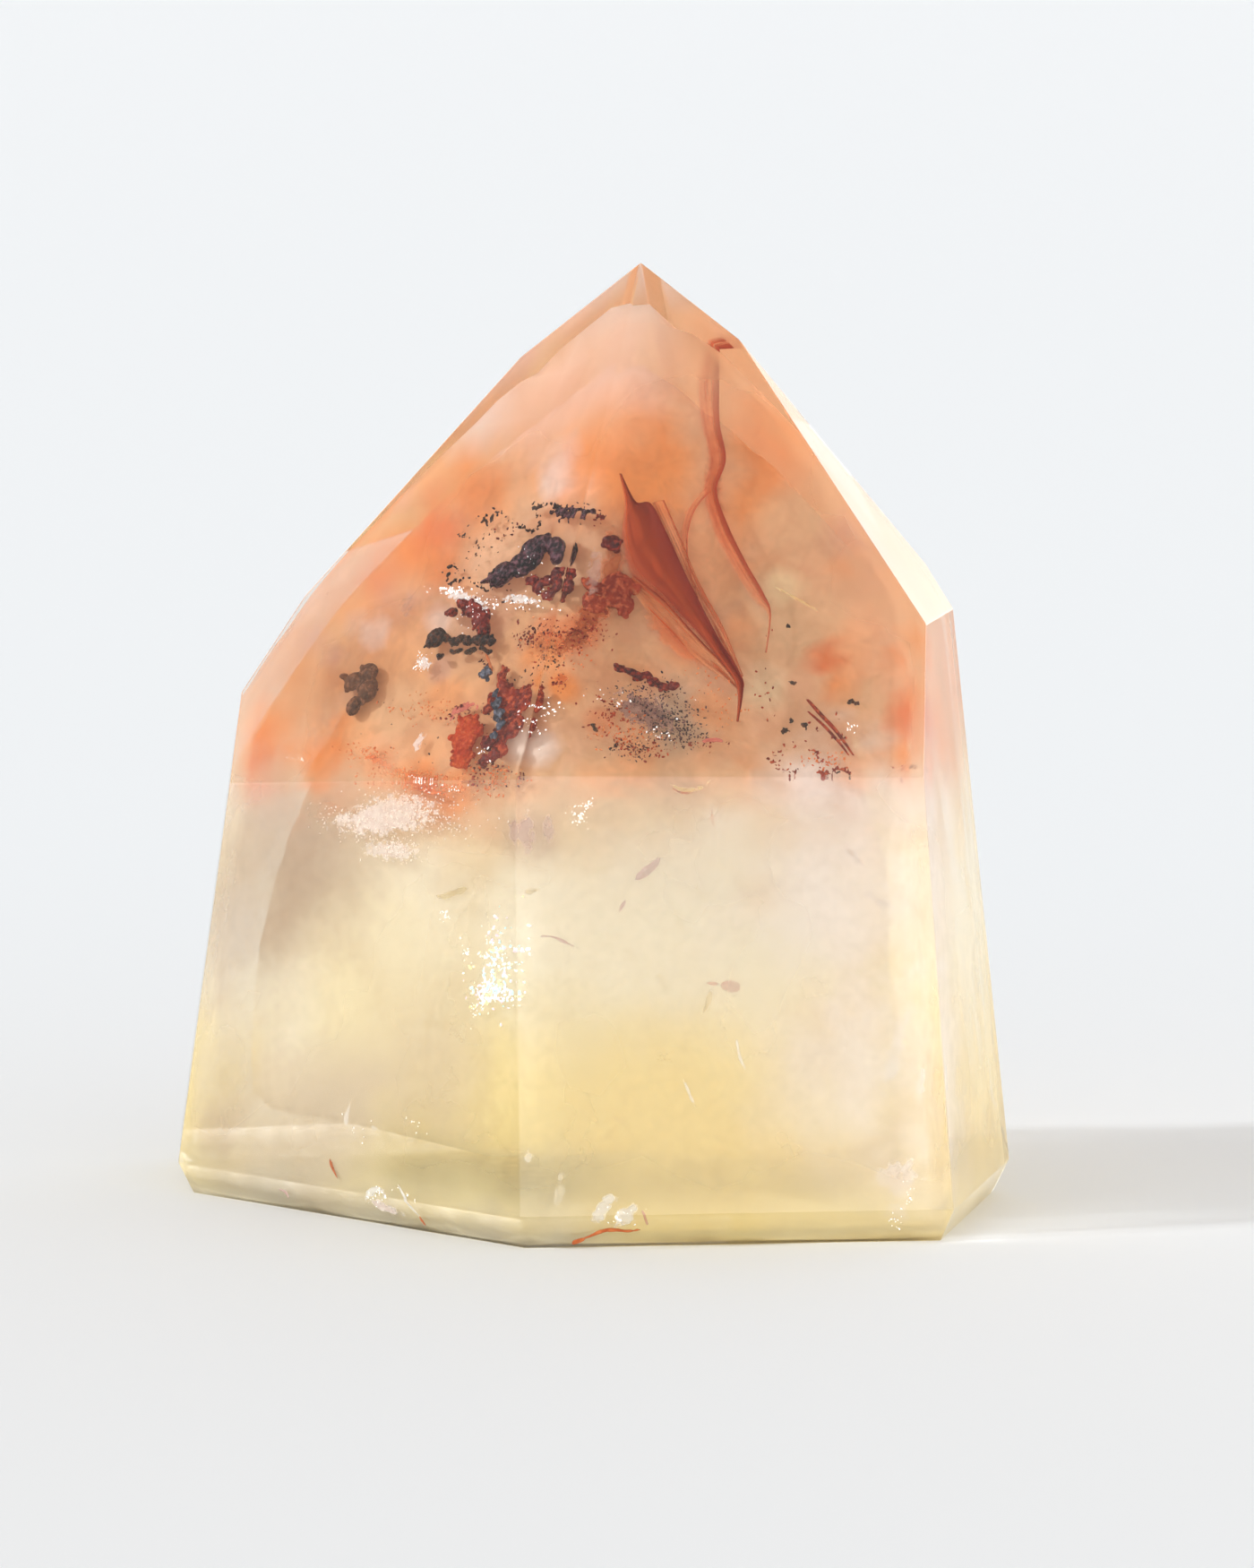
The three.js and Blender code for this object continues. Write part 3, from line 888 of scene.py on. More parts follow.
lumps = {
    "violetClump": {
        "node": "violet_clump", "slot": "dark_oxide", "finish": "violet", "facet": "tipFrontLeft",
        "place": (-6.4, 15.4, 2.3), "thick": 0.7,
        "knobs": (
            (0.4, 0.5, 1, 1.2), (-0.2, -0.3, 0.9, 0.9), (1, 1.4, 1, 0.6), (2.2, 1.2, 0.8, 0.65),
            (2.6, 0.5, 0.5, 0.6), (-1.4, -0.9, 0.9, 0.75), (-1.8, -1.5, 0.8, 0.45),
            (-2.7, -1.6, 0.4, 0.14),
        ),
        "crumbs": 26, "voxel": 0.09, "coarse": 0.22, "fine": 0.12, "seed": 21,
    },
    "redShreds": {
        "slot": "maroon_oxide", "finish": "maroon", "facet": "tipFrontLeft", "place": (-3.7, 14.3, 2.4),
        "thick": 0.25,
        "knobs": (
            (-0.9, -0.6, 0.5, 0.45), (-0.3, -0.1, 0.5, 0.4), (0.3, 0.5, 0.55, 0.45),
            (0.6, -0.2, 0.4, 0.6), (0, -1.1, 0.4, 0.4), (0.4, -0.9, 0.3, 0.5), (-1.6, -0.2, 0.4, 0.35),
        ),
        "crumbs": 22, "voxel": 0.08, "coarse": 0.15, "fine": 0.12, "seed": 22,
    },
    "maroonBean": {
        "node": "maroon_lump", "slot": "maroon_oxide", "finish": "maroon", "facet": "tipFrontLeft",
        "place": (-9.2, 11.15, 2.2), "thick": 0.65,
        "knobs": (
            (-1.8, 0.2, 0.4, 0.3), (-1, 0.8, 0.75, 0.4), (-0.1, 0.5, 0.75, 0.6),
            (0.8, -0.1, 0.75, 0.75), (1.3, -0.8, 0.55, 0.5),
        ),
        "crumbs": 14, "voxel": 0.09, "coarse": 0.2, "fine": 0.12, "seed": 23,
    },
    "blackCrust": {
        "node": "black_crust", "slot": "dark_oxide", "finish": "black", "facet": "tipFrontLeft",
        "place": (-10.1, 9.2, 2.25), "thick": 0.45,
        "knobs": (
            (-1.6, 0.3, 0.85, 0.65), (-1.9, 0, 0.5, 0.5), (-0.7, 0.3, 0.35, 0.3), (0, 0.1, 0.4, 0.28),
            (0.6, 0.4, 0.35, 0.28), (1.2, 0.2, 0.4, 0.3), (1.9, 0.4, 0.38, 0.32), (2.6, 0.5, 0.4, 0.4),
            (3.2, 0.4, 0.35, 0.3), (0.6, -0.5, 0.5, 0.14), (1.7, -0.4, 0.5, 0.14),
            (2.8, -0.2, 0.4, 0.14), (-0.8, -1, 0.22, 0.2),
        ),
        "crumbs": 26, "voxel": 0.08, "coarse": 0.2, "fine": 0.14, "seed": 24,
    },
    "deepRedMass": {
        "node": "deep_red_lump", "slot": "red_oxide", "finish": "red", "facet": "tipFrontLeft",
        "place": (-3.9, 4.9, 2.5), "thick": 0.5,
        "knobs": (
            (-1.3, 2.5, 0.3, 0.5), (-0.8, 1.5, 0.5, 0.8), (0.1, 0.6, 0.9, 1.1), (1.2, 1, 0.5, 0.9),
            (0.8, -0.8, 0.9, 1), (-0.1, -2, 0.8, 0.6), (0.7, -2.6, 0.5, 0.4), (-1.4, 0.4, 0.35, 0.9),
        ),
        "crumbs": 44, "voxel": 0.09, "coarse": 0.22, "fine": 0.16, "seed": 25,
    },
    "rustBlob": {
        "node": "rust_lump", "slot": "rust_oxide", "finish": "rust", "facet": "tipFrontLeft",
        "place": (-6.4, 2.6, 2.2), "thick": 0.5,
        "knobs": ((0, 0.3, 1.1, 1.4), (0.3, -1.1, 0.8, 0.8), (-0.2, 1.1, 0.8, 0.7)), "crumbs": 34,
        "voxel": 0.09, "coarse": 0.2, "fine": 0.14, "seed": 26,
    },
    "maroonFoot": {
        "slot": "maroon_oxide", "finish": "maroon", "facet": "tipFrontLeft", "place": (-4, 2.1, 2),
        "thick": 0.4,
        "knobs": (
            (-0.4, 0.4, 0.4, 0.4), (0, 0.9, 0.35, 0.4), (0.5, -0.3, 0.45, 0.4),
            (-0.1, -0.7, 0.45, 0.35),
        ),
        "crumbs": 16, "voxel": 0.08, "coarse": 0.15, "fine": 0.12, "seed": 27,
    },
    "blueSliver": {
        "slot": "dark_oxide", "finish": "blue", "facet": "tipFrontLeft", "place": (-4.2, 4.7, 1.7),
        "thick": 0.22,
        "knobs": (
            (-0.7, 1.3, 0.2, 0.4), (-0.3, 0.6, 0.32, 0.5), (0.1, -0.2, 0.4, 0.5), (0.5, -0.9, 0.3, 0.4),
            (0.4, -1.6, 0.2, 0.3),
        ),
        "crumbs": 10, "voxel": 0.07, "coarse": 0.1, "fine": 0.08, "seed": 28,
    },
    "blueBead": {
        "slot": "dark_oxide", "finish": "blue", "facet": "tipFrontLeft", "place": (-6.45, 7.3, 2),
        "thick": 0.3, "knobs": ((0, 0, 0.4, 0.4), (0.15, 0.15, 0.3, 0.25)), "crumbs": 6, "voxel": 0.07,
        "coarse": 0.08, "fine": 0.06, "seed": 29,
    },
    "brownBlot": {
        "node": "brown_lump", "slot": "brown_oxide", "finish": "brown", "facet": "tipFrontLeft",
        "place": (-17.15, 5.4, 2.6), "thick": 0.6,
        "knobs": (
            (0.5, 1.2, 0.9, 0.75), (-0.5, 0.5, 0.8, 0.7), (0.9, 0.1, 0.8, 1), (0.2, -1.2, 0.6, 0.75),
            (-1.5, 0.8, 0.35, 0.2),
        ),
        "crumbs": 10, "voxel": 0.09, "coarse": 0.2, "fine": 0.08, "seed": 30,
    },
    "brickPatch": {
        "node": "brick_lump", "slot": "red_oxide", "finish": "brick", "facet": "tipFront",
        "place": (6.6, 13, 2.7), "thick": 0.3,
        "knobs": (
            (-1, -0.4, 0.9, 0.9), (0.4, 0.7, 1.1, 0.9), (1, -0.7, 0.6, 0.7), (1.5, 0.5, 0.4, 0.6),
            (-1.2, 0.7, 0.6, 0.5), (0, 0, 0.9, 0.9),
        ),
        "crumbs": 24, "voxel": 0.09, "coarse": 0.12, "fine": 0.08, "seed": 31,
    },
    "redBead": {
        "slot": "maroon_oxide", "finish": "maroon", "facet": "tipFront", "place": (6.9, 16.5, 2.3),
        "thick": 0.5, "knobs": ((0, 0, 0.55, 0.6), (-0.3, 0.2, 0.4, 0.35)), "crumbs": 6, "voxel": 0.08,
        "coarse": 0.1, "fine": 0.06, "seed": 32,
    },
    "maroonBar": {
        "node": "maroon_bar", "slot": "maroon_oxide", "finish": "maroon", "facet": "tipFront",
        "place": (8.75, 7.1, 2.2), "thick": 0.3,
        "knobs": (
            (-1.7, 0.75, 0.4, 0.25), (-1, 0.5, 0.55, 0.26), (-0.3, 0.2, 0.55, 0.26),
            (0.4, -0.1, 0.45, 0.24), (1.1, -0.5, 0.45, 0.28), (1.7, -0.5, 0.45, 0.26),
        ),
        "crumbs": 14, "voxel": 0.07, "coarse": 0.12, "fine": 0.1, "seed": 33,
    },
}

for lumpName, lump in lumps.items():
    growLump(lumpName, lump)


print("red veils")


def alongRail(points, part):
    # a smooth walk along listed points, from the first at 0 to the last at 1
    place = min(max(part, 0.0), 1.0) * (len(points) - 1)
    start = min(int(place), len(points) - 2)
    near = [Vector(points[min(max(start + step, 0), len(points) - 1)]) for step in (-1, 0, 1, 2)]
    t = place - start
    return 0.5 * (
        2.0 * near[1]
        + (near[2] - near[0]) * t
        + (2.0 * near[0] - 5.0 * near[1] + 4.0 * near[2] - near[3]) * t * t
        + (3.0 * near[1] - near[0] - 3.0 * near[2] + near[3]) * t * t * t
    )


def veilFinish(name, veil):
    # streaks run along the veil, and it is thickest along its right edge
    material, nodes, links, shader = newFinish(name + "Finish")
    place = nodes.new("ShaderNodeUVMap")
    stretch = nodes.new("ShaderNodeMapping")
    stretch.inputs["Scale"].default_value = (veil["streaks"], 1.5, 1.0)
    stretch.inputs["Location"].default_value = (veil["seed"] * 3.0, veil["seed"] * 7.0, 0.0)
    streak = nodes.new("ShaderNodeTexNoise")
    streak.inputs["Scale"].default_value = 1.0
    streak.inputs["Detail"].default_value = 5.0
    streak.inputs["Distortion"].default_value = 0.4
    split = nodes.new("ShaderNodeSeparateXYZ")
    links.new(place.outputs["UV"], stretch.inputs["Vector"])
    links.new(place.outputs["UV"], split.inputs["Vector"])
    links.new(stretch.outputs["Vector"], streak.inputs["Vector"])
    edge = mapValue(nodes, links, split.outputs["X"], veil["edgeFrom"], 1.0)
    fine = mapValue(nodes, links, streak.outputs["Fac"], 0.35, 0.65)
    streaks = combine(nodes, links, "MULTIPLY", fine, veil["streakDepth"])
    dense = combine(nodes, links, "MAXIMUM", edge, streaks)
    color = blendColors(nodes, links, dense, veil["colors"][0], veil["colors"][1])
    links.new(color, shader.inputs["Base Color"])
    cover = mapValue(nodes, links, dense, 0.0, 1.0, veil["least"], veil["most"])
    fade = mapValue(nodes, links, split.outputs["X"], 0.0, veil["fade"])
    links.new(combine(nodes, links, "MULTIPLY", cover, fade), shader.inputs["Alpha"])
    shader.inputs["Roughness"].default_value = 0.6
    shader.inputs["Specular IOR Level"].default_value = 0.2
    return material


def hangVeil(name, veil):
    # a thin sheet between two rails, which are across, up and out in millimetres
    deselectAll()
    across, along = veil["steps"]
    bpy.ops.mesh.primitive_grid_add(x_subdivisions=across, y_subdivisions=along, size=2.0)
    piece = bpy.context.object
    piece.name = name
    for vertex in piece.data.vertices:
        side = (vertex.co.x + 1.0) / 2.0
        down = (1.0 - vertex.co.y) / 2.0
        left = alongRail(veil["left"], down)
        right = alongRail(veil["right"], down)
        spot = left.lerp(right, side)
        fold = math.sin(side * math.pi * veil["folds"]) * veil["foldHeight"] * min(1.0, (right - left).length)
        ripple = noise.noise(Vector((spot.x * 0.7, spot.y * 0.35, veil["seed"]))) * veil["ripple"]
        vertex.co = spot + Vector((0.0, 0.0, fold + ripple))
    makeFilm(piece, veil["film"], 0.0)
    layIn(piece, veil["facet"], 0.0, 0.0, veil["depth"])
    piece.data.materials.append(veilFinish(name, veil))
    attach(piece, "root")
    if "node" in veil:
        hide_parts(veil["node"])


veils = {
    "redVeil": {
        "node": "red_veil", "slot": "red_oxide", "facet": "tipFront", "depth": 2.4, "steps": (16, 60),
        "left": (
            (7.5, 21.3, 0.1), (7.7, 19.2, 0.2), (7.4, 16.6, 0.1), (7.9, 14.2, 0), (10, 12.4, -0.1),
            (12.2, 10, 0), (14, 7.6, 0.1), (14.6, 6.2, 0.1), (14.5, 4.2, 0),
        ),
        "right": (
            (7.6, 21.3, 0.1), (8.5, 19.4, 0), (9.5, 19.2, 0.3), (10.6, 16.7, 0.4), (11.9, 13.5, 0.3),
            (13.4, 10.2, 0.2), (14.9, 7.3, 0.1), (15, 6.2, 0), (14.6, 4.2, 0),
        ),
        "folds": 2.0, "foldHeight": 0.25, "ripple": 0.3, "film": 0.07, "streaks": 5.0,
        "streakDepth": 0.7, "edgeFrom": 0.35, "fade": 0.25, "least": 0.7, "most": 1.0,
        "colors": (paint(196, 78, 28), paint(140, 40, 10)), "seed": 1.0,
    },
    "veilFold": {
        "slot": "red_oxide", "facet": "tipFront", "depth": 2.6, "steps": (10, 50),
        "left": (
            (7.6, 13.8, 0), (8.8, 12, 0), (10.2, 10.4, 0.1), (11.8, 8.6, 0.1), (13.6, 7.2, 0),
            (14.8, 6.3, 0),
        ),
        "right": (
            (8.2, 14.3, 0), (9.9, 12.8, 0.1), (11.2, 11.2, 0.2), (12.7, 9.4, 0.2), (14, 7.9, 0),
            (14.9, 6.4, 0),
        ),
        "folds": 3.0, "foldHeight": 0.2, "ripple": 0.15, "film": 0.06, "streaks": 3.0,
        "streakDepth": 1.0, "edgeFrom": 0.7, "fade": 0.2, "least": 0.15, "most": 0.8,
        "colors": (paint(232, 146, 86), paint(190, 76, 30)), "seed": 2.0,
    },
    "veilRightFold": {
        "slot": "red_oxide", "facet": "tipFront", "depth": 2.9, "steps": (8, 50),
        "left": ((9.6, 19.4, 0), (10.8, 16.6, 0), (12.1, 13.4, 0), (13.6, 10.1, 0), (15, 7.3, 0)),
        "right": ((10.4, 19.6, 0), (11.5, 16.6, 0.1), (12.4, 14, 0.2), (13.9, 10.8, 0.1), (15.1, 7.4, 0)),
        "folds": 1.0, "foldHeight": 0.2, "ripple": 0.1, "film": 0.06, "streaks": 2.5,
        "streakDepth": 0.9, "edgeFrom": 0.75, "fade": 0.1, "least": 0.1, "most": 0.7,
        "colors": (paint(230, 140, 84), paint(186, 76, 34)), "seed": 3.0,
    },
    "upperVeil": {
        "node": "upper_veil", "slot": "rust_oxide", "facet": "tipFront", "depth": 3.0,
        "steps": (12, 70),
        "left": (
            (13.9, 31.5, 0), (12.9, 28, 0), (13, 25, 0), (13.5, 22.4, 0.1), (13, 20.2, 0),
            (13.5, 17.6, 0), (14.6, 15, 0), (15.9, 12.6, 0), (16.9, 11.5, 0), (16.6, 9, 0),
        ),
        "right": (
            (14.6, 31.2, 0), (14.4, 28, 0.1), (14.3, 25, 0.2), (14.6, 22.4, 0.2), (13.9, 20.2, 0.2),
            (14.6, 17.6, 0.2), (15.6, 15.2, 0.3), (16.7, 13, 0.2), (17.1, 11.7, 0.1), (16.7, 9, 0),
        ),
        "folds": 1.0, "foldHeight": 0.2, "ripple": 0.2, "film": 0.07, "streaks": 2.5,
        "streakDepth": 0.8, "edgeFrom": 0.4, "fade": 0.45, "least": 0.25, "most": 0.9,
        "colors": (paint(226, 118, 62), paint(176, 58, 22)), "seed": 4.0,
    },
    "leftBranch": {
        "slot": "rust_oxide", "facet": "tipFront", "depth": 3.0, "steps": (8, 40),
        "left": ((13.1, 20.6, 0), (11.9, 19, 0), (11.4, 17.2, 0), (11.5, 15, 0), (12.2, 12.8, 0)),
        "right": ((13.7, 20.4, 0), (12.5, 19, 0.1), (11.9, 17.2, 0.1), (11.9, 15, 0.1), (12.4, 12.8, 0)),
        "folds": 1.0, "foldHeight": 0.1, "ripple": 0.1, "film": 0.06, "streaks": 2.0,
        "streakDepth": 0.8, "edgeFrom": 0.5, "fade": 0.4, "least": 0.1, "most": 0.6,
        "colors": (paint(234, 144, 90), paint(196, 84, 42)), "seed": 5.0,
    },
}

for veilName, veil in veils.items():
    hangVeil(veilName, veil)


print("grains and lace")


def makeGrain(size):
    # one faceted grain, a little longer than wide
    deselectAll()
    bpy.ops.mesh.primitive_ico_sphere_add(subdivisions=1, radius=size)
    grain = bpy.context.object
    grain.scale = (1.25, 0.9, 0.75)
    freeze(grain)
    return grain


def strewGrains(name, grains):
    # the grain is modelled once and copied along lines or over ovals, each copy with its own mesh
    draw = random.Random(grains["seed"])
    first = makeGrain(1.0)
    copies = []
    for spot in grainSpots(grains, draw):
        grain = first.copy()
        grain.data = first.data.copy()
        bpy.context.collection.objects.link(grain)
        size = draw.uniform(*grains["size"])
        grain.scale = (size, size * draw.uniform(0.6, 1.0), size * draw.uniform(0.5, 0.9))
        grain.rotation_euler = [draw.uniform(0.0, math.pi) for axis in range(3)]
        grain.location = (spot[0], spot[1], draw.uniform(-1.0, 1.0) * grains["deep"])
        copies.append(grain)
    bpy.data.objects.remove(first)
    piece = joinAll(copies, name)
    freeze(piece)
    if grains["melt"]:
        roughen(piece, grains["melt"], 0.06, 0.05)
    layIn(piece, grains["facet"], 0.0, 0.0, grains["depth"])
    piece.data.materials.append(finishes[grains["finish"]])
    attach(piece, "root")


def grainSpots(grains, draw):
    spots = []
    for line in grains.get("lines", ()):
        steps = grains["perLine"]
        for step in range(steps):
            centre = alongRail([(*point, 0.0) for point in line], (step + draw.random()) / steps)
            sideways = draw.gauss(0.0, grains["stray"])
            upwards = draw.gauss(0.0, grains["stray"])
            spots.append((centre.x + sideways, centre.y + upwards))
    for across, up, wide, tall, count in grains.get("ovals", ()):
        for step in range(count):
            spots.append((across + draw.gauss(0.0, 0.5) * wide, up + draw.gauss(0.0, 0.5) * tall))
    return spots


grainSets = {
    "blackLace": {
        "facet": "tipFrontLeft", "depth": 2.3, "finish": "black", "slot": "dark_oxide",
        "lines": (
            ((-11.8, 18.3), (-10.6, 18), (-10.2, 18.8), (-9, 18.3), (-7.7, 17.8), (-6.6, 17.6)),
            ((-7.7, 17.8), (-6.6, 17.6), (-6.3, 18.4), (-7.3, 19.3)),
            ((-7.4, 19.5), (-6.6, 19.2), (-5.9, 19.6), (-4.6, 19.4)),
            ((-12.5, 13.8), (-12.6, 14.6), (-11.9, 14.4), (-11.9, 13.5), (-12.5, 13.8)),
            ((-11.7, 13.5), (-10.8, 13.9), (-9.6, 13.4), (-8.7, 13.1), (-8.2, 13.8)),
        ),
        "perLine": 34, "stray": 0.11,
        "ovals": (
            (-12.3, 17, 0.5, 0.4, 14), (-11, 16.5, 0.2, 0.2, 5), (-10.7, 15.8, 0.3, 0.4, 6),
            (-10.6, 18.2, 0.5, 0.5, 20),
        ),
        "size": (0.05, 0.17), "deep": 0.15, "melt": 0.06, "seed": 41,
    },
    "violetBar": {
        "facet": "tipFrontLeft", "depth": 2.3, "finish": "violet", "slot": "dark_oxide",
        "lines": (
            ((-5.5, 19.3), (-4.6, 19.2), (-3.8, 19.2), (-3, 19.4)),
            ((-5.2, 19), (-4.4, 18.8), (-3.7, 18.9)),
        ),
        "perLine": 40, "stray": 0.16, "size": (0.1, 0.24), "deep": 0.2, "melt": 0.07, "seed": 42,
    },
    "redSpecksByLace": {
        "facet": "tipFrontLeft", "depth": 2.5, "finish": "maroon", "slot": "maroon_oxide",
        "lines": (
            ((-10.2, 17.6), (-9.2, 17), (-8.6, 17.3), (-8.2, 17.8)),
            ((-2.9, 18.9), (-2.5, 19.3), (-2.4, 18.7)),
        ),
        "perLine": 18, "stray": 0.2,
        "ovals": (
            (-3.8, 10.2, 1.4, 0.9, 90), (-4, 0.8, 2.4, 1, 50), (-7.6, 4.4, 1.6, 0.8, 46),
            (-6.8, 7.9, 0.7, 1, 22),
        ),
        "size": (0.04, 0.15), "deep": 0.2, "melt": 0.0, "seed": 43,
    },
    "darkSpecks": {
        "facet": "tipFrontLeft", "depth": 2.2, "finish": "black", "slot": "dark_oxide",
        "ovals": (
            (-10.8, 16, 2.4, 2, 26), (-6.4, 12.6, 3, 0.9, 20), (-3.2, 7.4, 1.2, 0.9, 16),
            (-9, 1.5, 3, 1.4, 10), (-14.5, 4, 2.5, 2.5, 8), (-4.2, 3.6, 1.4, 2, 22),
            (-2, 8.7, 0.8, 0.9, 20),
        ),
        "size": (0.03, 0.11), "deep": 0.25, "melt": 0.0, "seed": 44,
    },
    "speckleCloud": {
        "facet": "tipFront", "depth": 2.4, "finish": "violet", "slot": "dark_oxide",
        "ovals": (
            (9.9, 4.6, 2.3, 1.5, 330), (8.6, 6.4, 2.6, 1, 110), (10.9, 3.2, 1.4, 0.9, 110),
            (7.8, 2.4, 1.8, 0.7, 90),
        ),
        "size": (0.03, 0.11), "deep": 0.25, "melt": 0.0, "seed": 45,
    },
    "rustSpecks": {
        "facet": "tipFront", "depth": 2.3, "finish": "red", "slot": "red_oxide",
        "ovals": (
            (6.3, 4.8, 1.7, 1.4, 90), (8, 2.4, 2.4, 0.8, 90), (4.6, 10.3, 1.8, 1.1, 120),
            (12.6, 2.7, 1.6, 0.4, 26), (3, 7.2, 1.2, 1, 30), (20.5, 3.2, 1.5, 1, 16),
            (16.5, 6, 1, 3, 14), (25, 0.9, 1.2, 0.5, 10),
        ),
        "size": (0.03, 0.14), "deep": 0.25, "melt": 0.0, "seed": 46,
    },
    "rustLace": {
        "facet": "tipFront", "depth": 2.2, "finish": "red", "slot": "rust_oxide",
        "lines": (
            ((18.4, 2.4), (17.5, 2.2), (16.8, 1.8), (17, 1.1), (17.7, 0.7), (18.2, 0.8)),
            ((19.3, 2.2), (19.8, 1.5), (19.7, 0.7), (20.1, 0.6)), ((20.5, 0.6), (21, 0.9), (21.7, 0.5)),
        ),
        "perLine": 44, "stray": 0.14, "size": (0.04, 0.15), "deep": 0.12, "melt": 0.06, "seed": 47,
    },
    "darkGrainsRight": {
        "facet": "tipFront", "depth": 2.3, "finish": "black", "slot": "dark_oxide",
        "ovals": (
            (17.5, 3.5, 0.4, 0.25, 12), (18.1, 4.2, 0.2, 0.15, 3), (18.9, 3.8, 0.35, 0.2, 9),
            (18.3, 6.8, 0.3, 0.12, 6), (18.2, 10.7, 0.15, 0.12, 3), (22.2, 5.4, 0.45, 0.2, 12),
            (21.2, 0.7, 0.5, 0.15, 6), (5.2, 3.8, 0.25, 0.25, 12), (6.4, 2.6, 0.25, 0.2, 8),
            (25.8, 1, 0.4, 0.15, 5),
        ),
        "size": (0.08, 0.19), "deep": 0.15, "melt": 0.07, "seed": 48,
    },
}

for grainName, grains in grainSets.items():
    strewGrains(grainName, grains)


print("needles")
needleSteps = 24
needleDepth = 2.3

needles = {
    "needleUpper": {"line": ((19.2, 5.6), (20, 4.6), (21, 3.4), (22, 1.8)), "half": 0.16},
    "needleLower": {"line": ((19.2, 4.8), (20.2, 3.8), (21.1, 2.7), (21.7, 1.8)), "half": 0.12},
}


def pullNeedle(name, needle):
    # a curved rod that tapers to both ends
    deselectAll()
    bpy.ops.mesh.primitive_cylinder_add(vertices=12, radius=1.0, depth=2.0, end_fill_type="TRIFAN")
    piece = bpy.context.object
    piece.name = name
    bpy.ops.object.mode_set(mode="EDIT")
    bpy.ops.mesh.select_all(action="SELECT")
    for cut in range(1, needleSteps):
        bpy.ops.mesh.select_all(action="SELECT")
        bpy.ops.mesh.bisect(plane_co=(0, 0, 2.0 * cut / needleSteps - 1.0), plane_no=(0, 0, 1))
    bpy.ops.object.mode_set(mode="OBJECT")
    for vertex in piece.data.vertices:
        down = (1.0 - vertex.co.z) / 2.0
        centre = alongRail([(*point, 0.0) for point in needle["line"]], down)
        width = needle["half"] * (0.25 + 0.75 * math.sin(math.pi * min(1.0, 0.15 + down * 0.8)))
        vertex.co = centre + Vector((vertex.co.x, vertex.co.y * 0.4, vertex.co.y)) * width
    bpy.ops.object.shade_smooth()
    layIn(piece, "tipFront", 0.0, 0.0, needleDepth)
    piece.data.materials.append(finishes["red"])
    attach(piece, "root")


for needleName, needle in needles.items():
    pullNeedle(needleName, needle)


print("smears, flakes and sparkles")


def smearFinish(name, smear):
    # thickest along its middle, ragged towards its rim
    material, nodes, links, shader = newFinish(name + "Finish")
    net = nodes.new("ShaderNodeUVMap")
    centred = nodes.new("ShaderNodeMapping")
    centred.inputs["Location"].default_value = (-1.0, -1.0, 0.0)
    centred.inputs["Scale"].default_value = (2.0, 2.0, 1.0)
    away = nodes.new("ShaderNodeVectorMath")
    away.operation = "LENGTH"
    links.new(net.outputs["UV"], centred.inputs["Vector"])
    links.new(centred.outputs["Vector"], away.inputs["Vector"])
    place = placeInMillimetres(nodes, links, smear["seed"])
    grain = addCloud(nodes, links, place, scale=smear["grain"], detail=2.0, warp=0.4, low=0.3, high=0.7)
    middle = mapValue(nodes, links, away.outputs["Value"], 1.0, 0.1)
    held = combine(nodes, links, "MULTIPLY", grain, smear["ragged"])
    reach = combine(nodes, links, "SUBTRACT", middle, held)
    cover = mapValue(nodes, links, reach, 0.0, smear["soft"], 0.0, smear["cover"])
    links.new(blendColors(nodes, links, grain, *smear["colors"]), shader.inputs["Base Color"])
    links.new(cover, shader.inputs["Alpha"])
    shader.inputs["Roughness"].default_value = 0.8
    shader.inputs["Specular IOR Level"].default_value = 0.1
    return material


def drawSmear(name, smear):
    # a thin film along a given line, as wide as its two half widths say
    deselectAll()
    bpy.ops.mesh.primitive_grid_add(x_subdivisions=8, y_subdivisions=24, size=2.0)
    piece = bpy.context.object
    piece.name = name
    line = [(*point, 0.0) for point in smear["line"]]
    for vertex in piece.data.vertices:
        down = (1.0 - vertex.co.y) / 2.0
        centre = alongRail(line, down)
        along = (alongRail(line, down + 0.02) - alongRail(line, down - 0.02)).normalized()
        sideways = Vector((along.y, -along.x, 0.0))
        half = smear["half"][0] + (smear["half"][1] - smear["half"][0]) * down
        spot = Vector((centre.x, centre.y, smear["seed"])) * 0.8 + sideways * vertex.co.x
        lift = noise.noise(spot) * smear["wave"]
        vertex.co = centre + sideways * vertex.co.x * half + Vector((0.0, 0.0, lift))
    makeFilm(piece, smear["film"], -1.0)
    layIn(piece, smear["facet"], 0.0, 0.0, smear["depth"])
    piece.data.materials.append(smearFinish(name, smear))
    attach(piece, "root")


smearTones = {
    "frost": (paint(255, 246, 240), paint(240, 222, 216)),
    "mauve": (paint(218, 188, 178), paint(198, 160, 150)),
    "brown": (paint(228, 184, 160), paint(212, 160, 136)),
    "olive": (paint(226, 206, 156), paint(208, 184, 128)),
    "smoke": (paint(236, 220, 202), paint(222, 202, 182)),
    "rust": (paint(208, 122, 74), paint(184, 92, 50)),
    "white": (paint(255, 255, 255), paint(250, 244, 238)),
    "orange": (paint(240, 146, 90), paint(226, 116, 60)),
    "pink": (paint(222, 130, 112), paint(206, 108, 92)),
    "yellow": (paint(244, 216, 156), paint(230, 192, 128)),
    "brick": (paint(198, 108, 62), paint(164, 70, 34)),
    "dusk": (paint(190, 150, 134), paint(160, 118, 106)),
}

smearFilm = 0.03
smearWave = 0.15

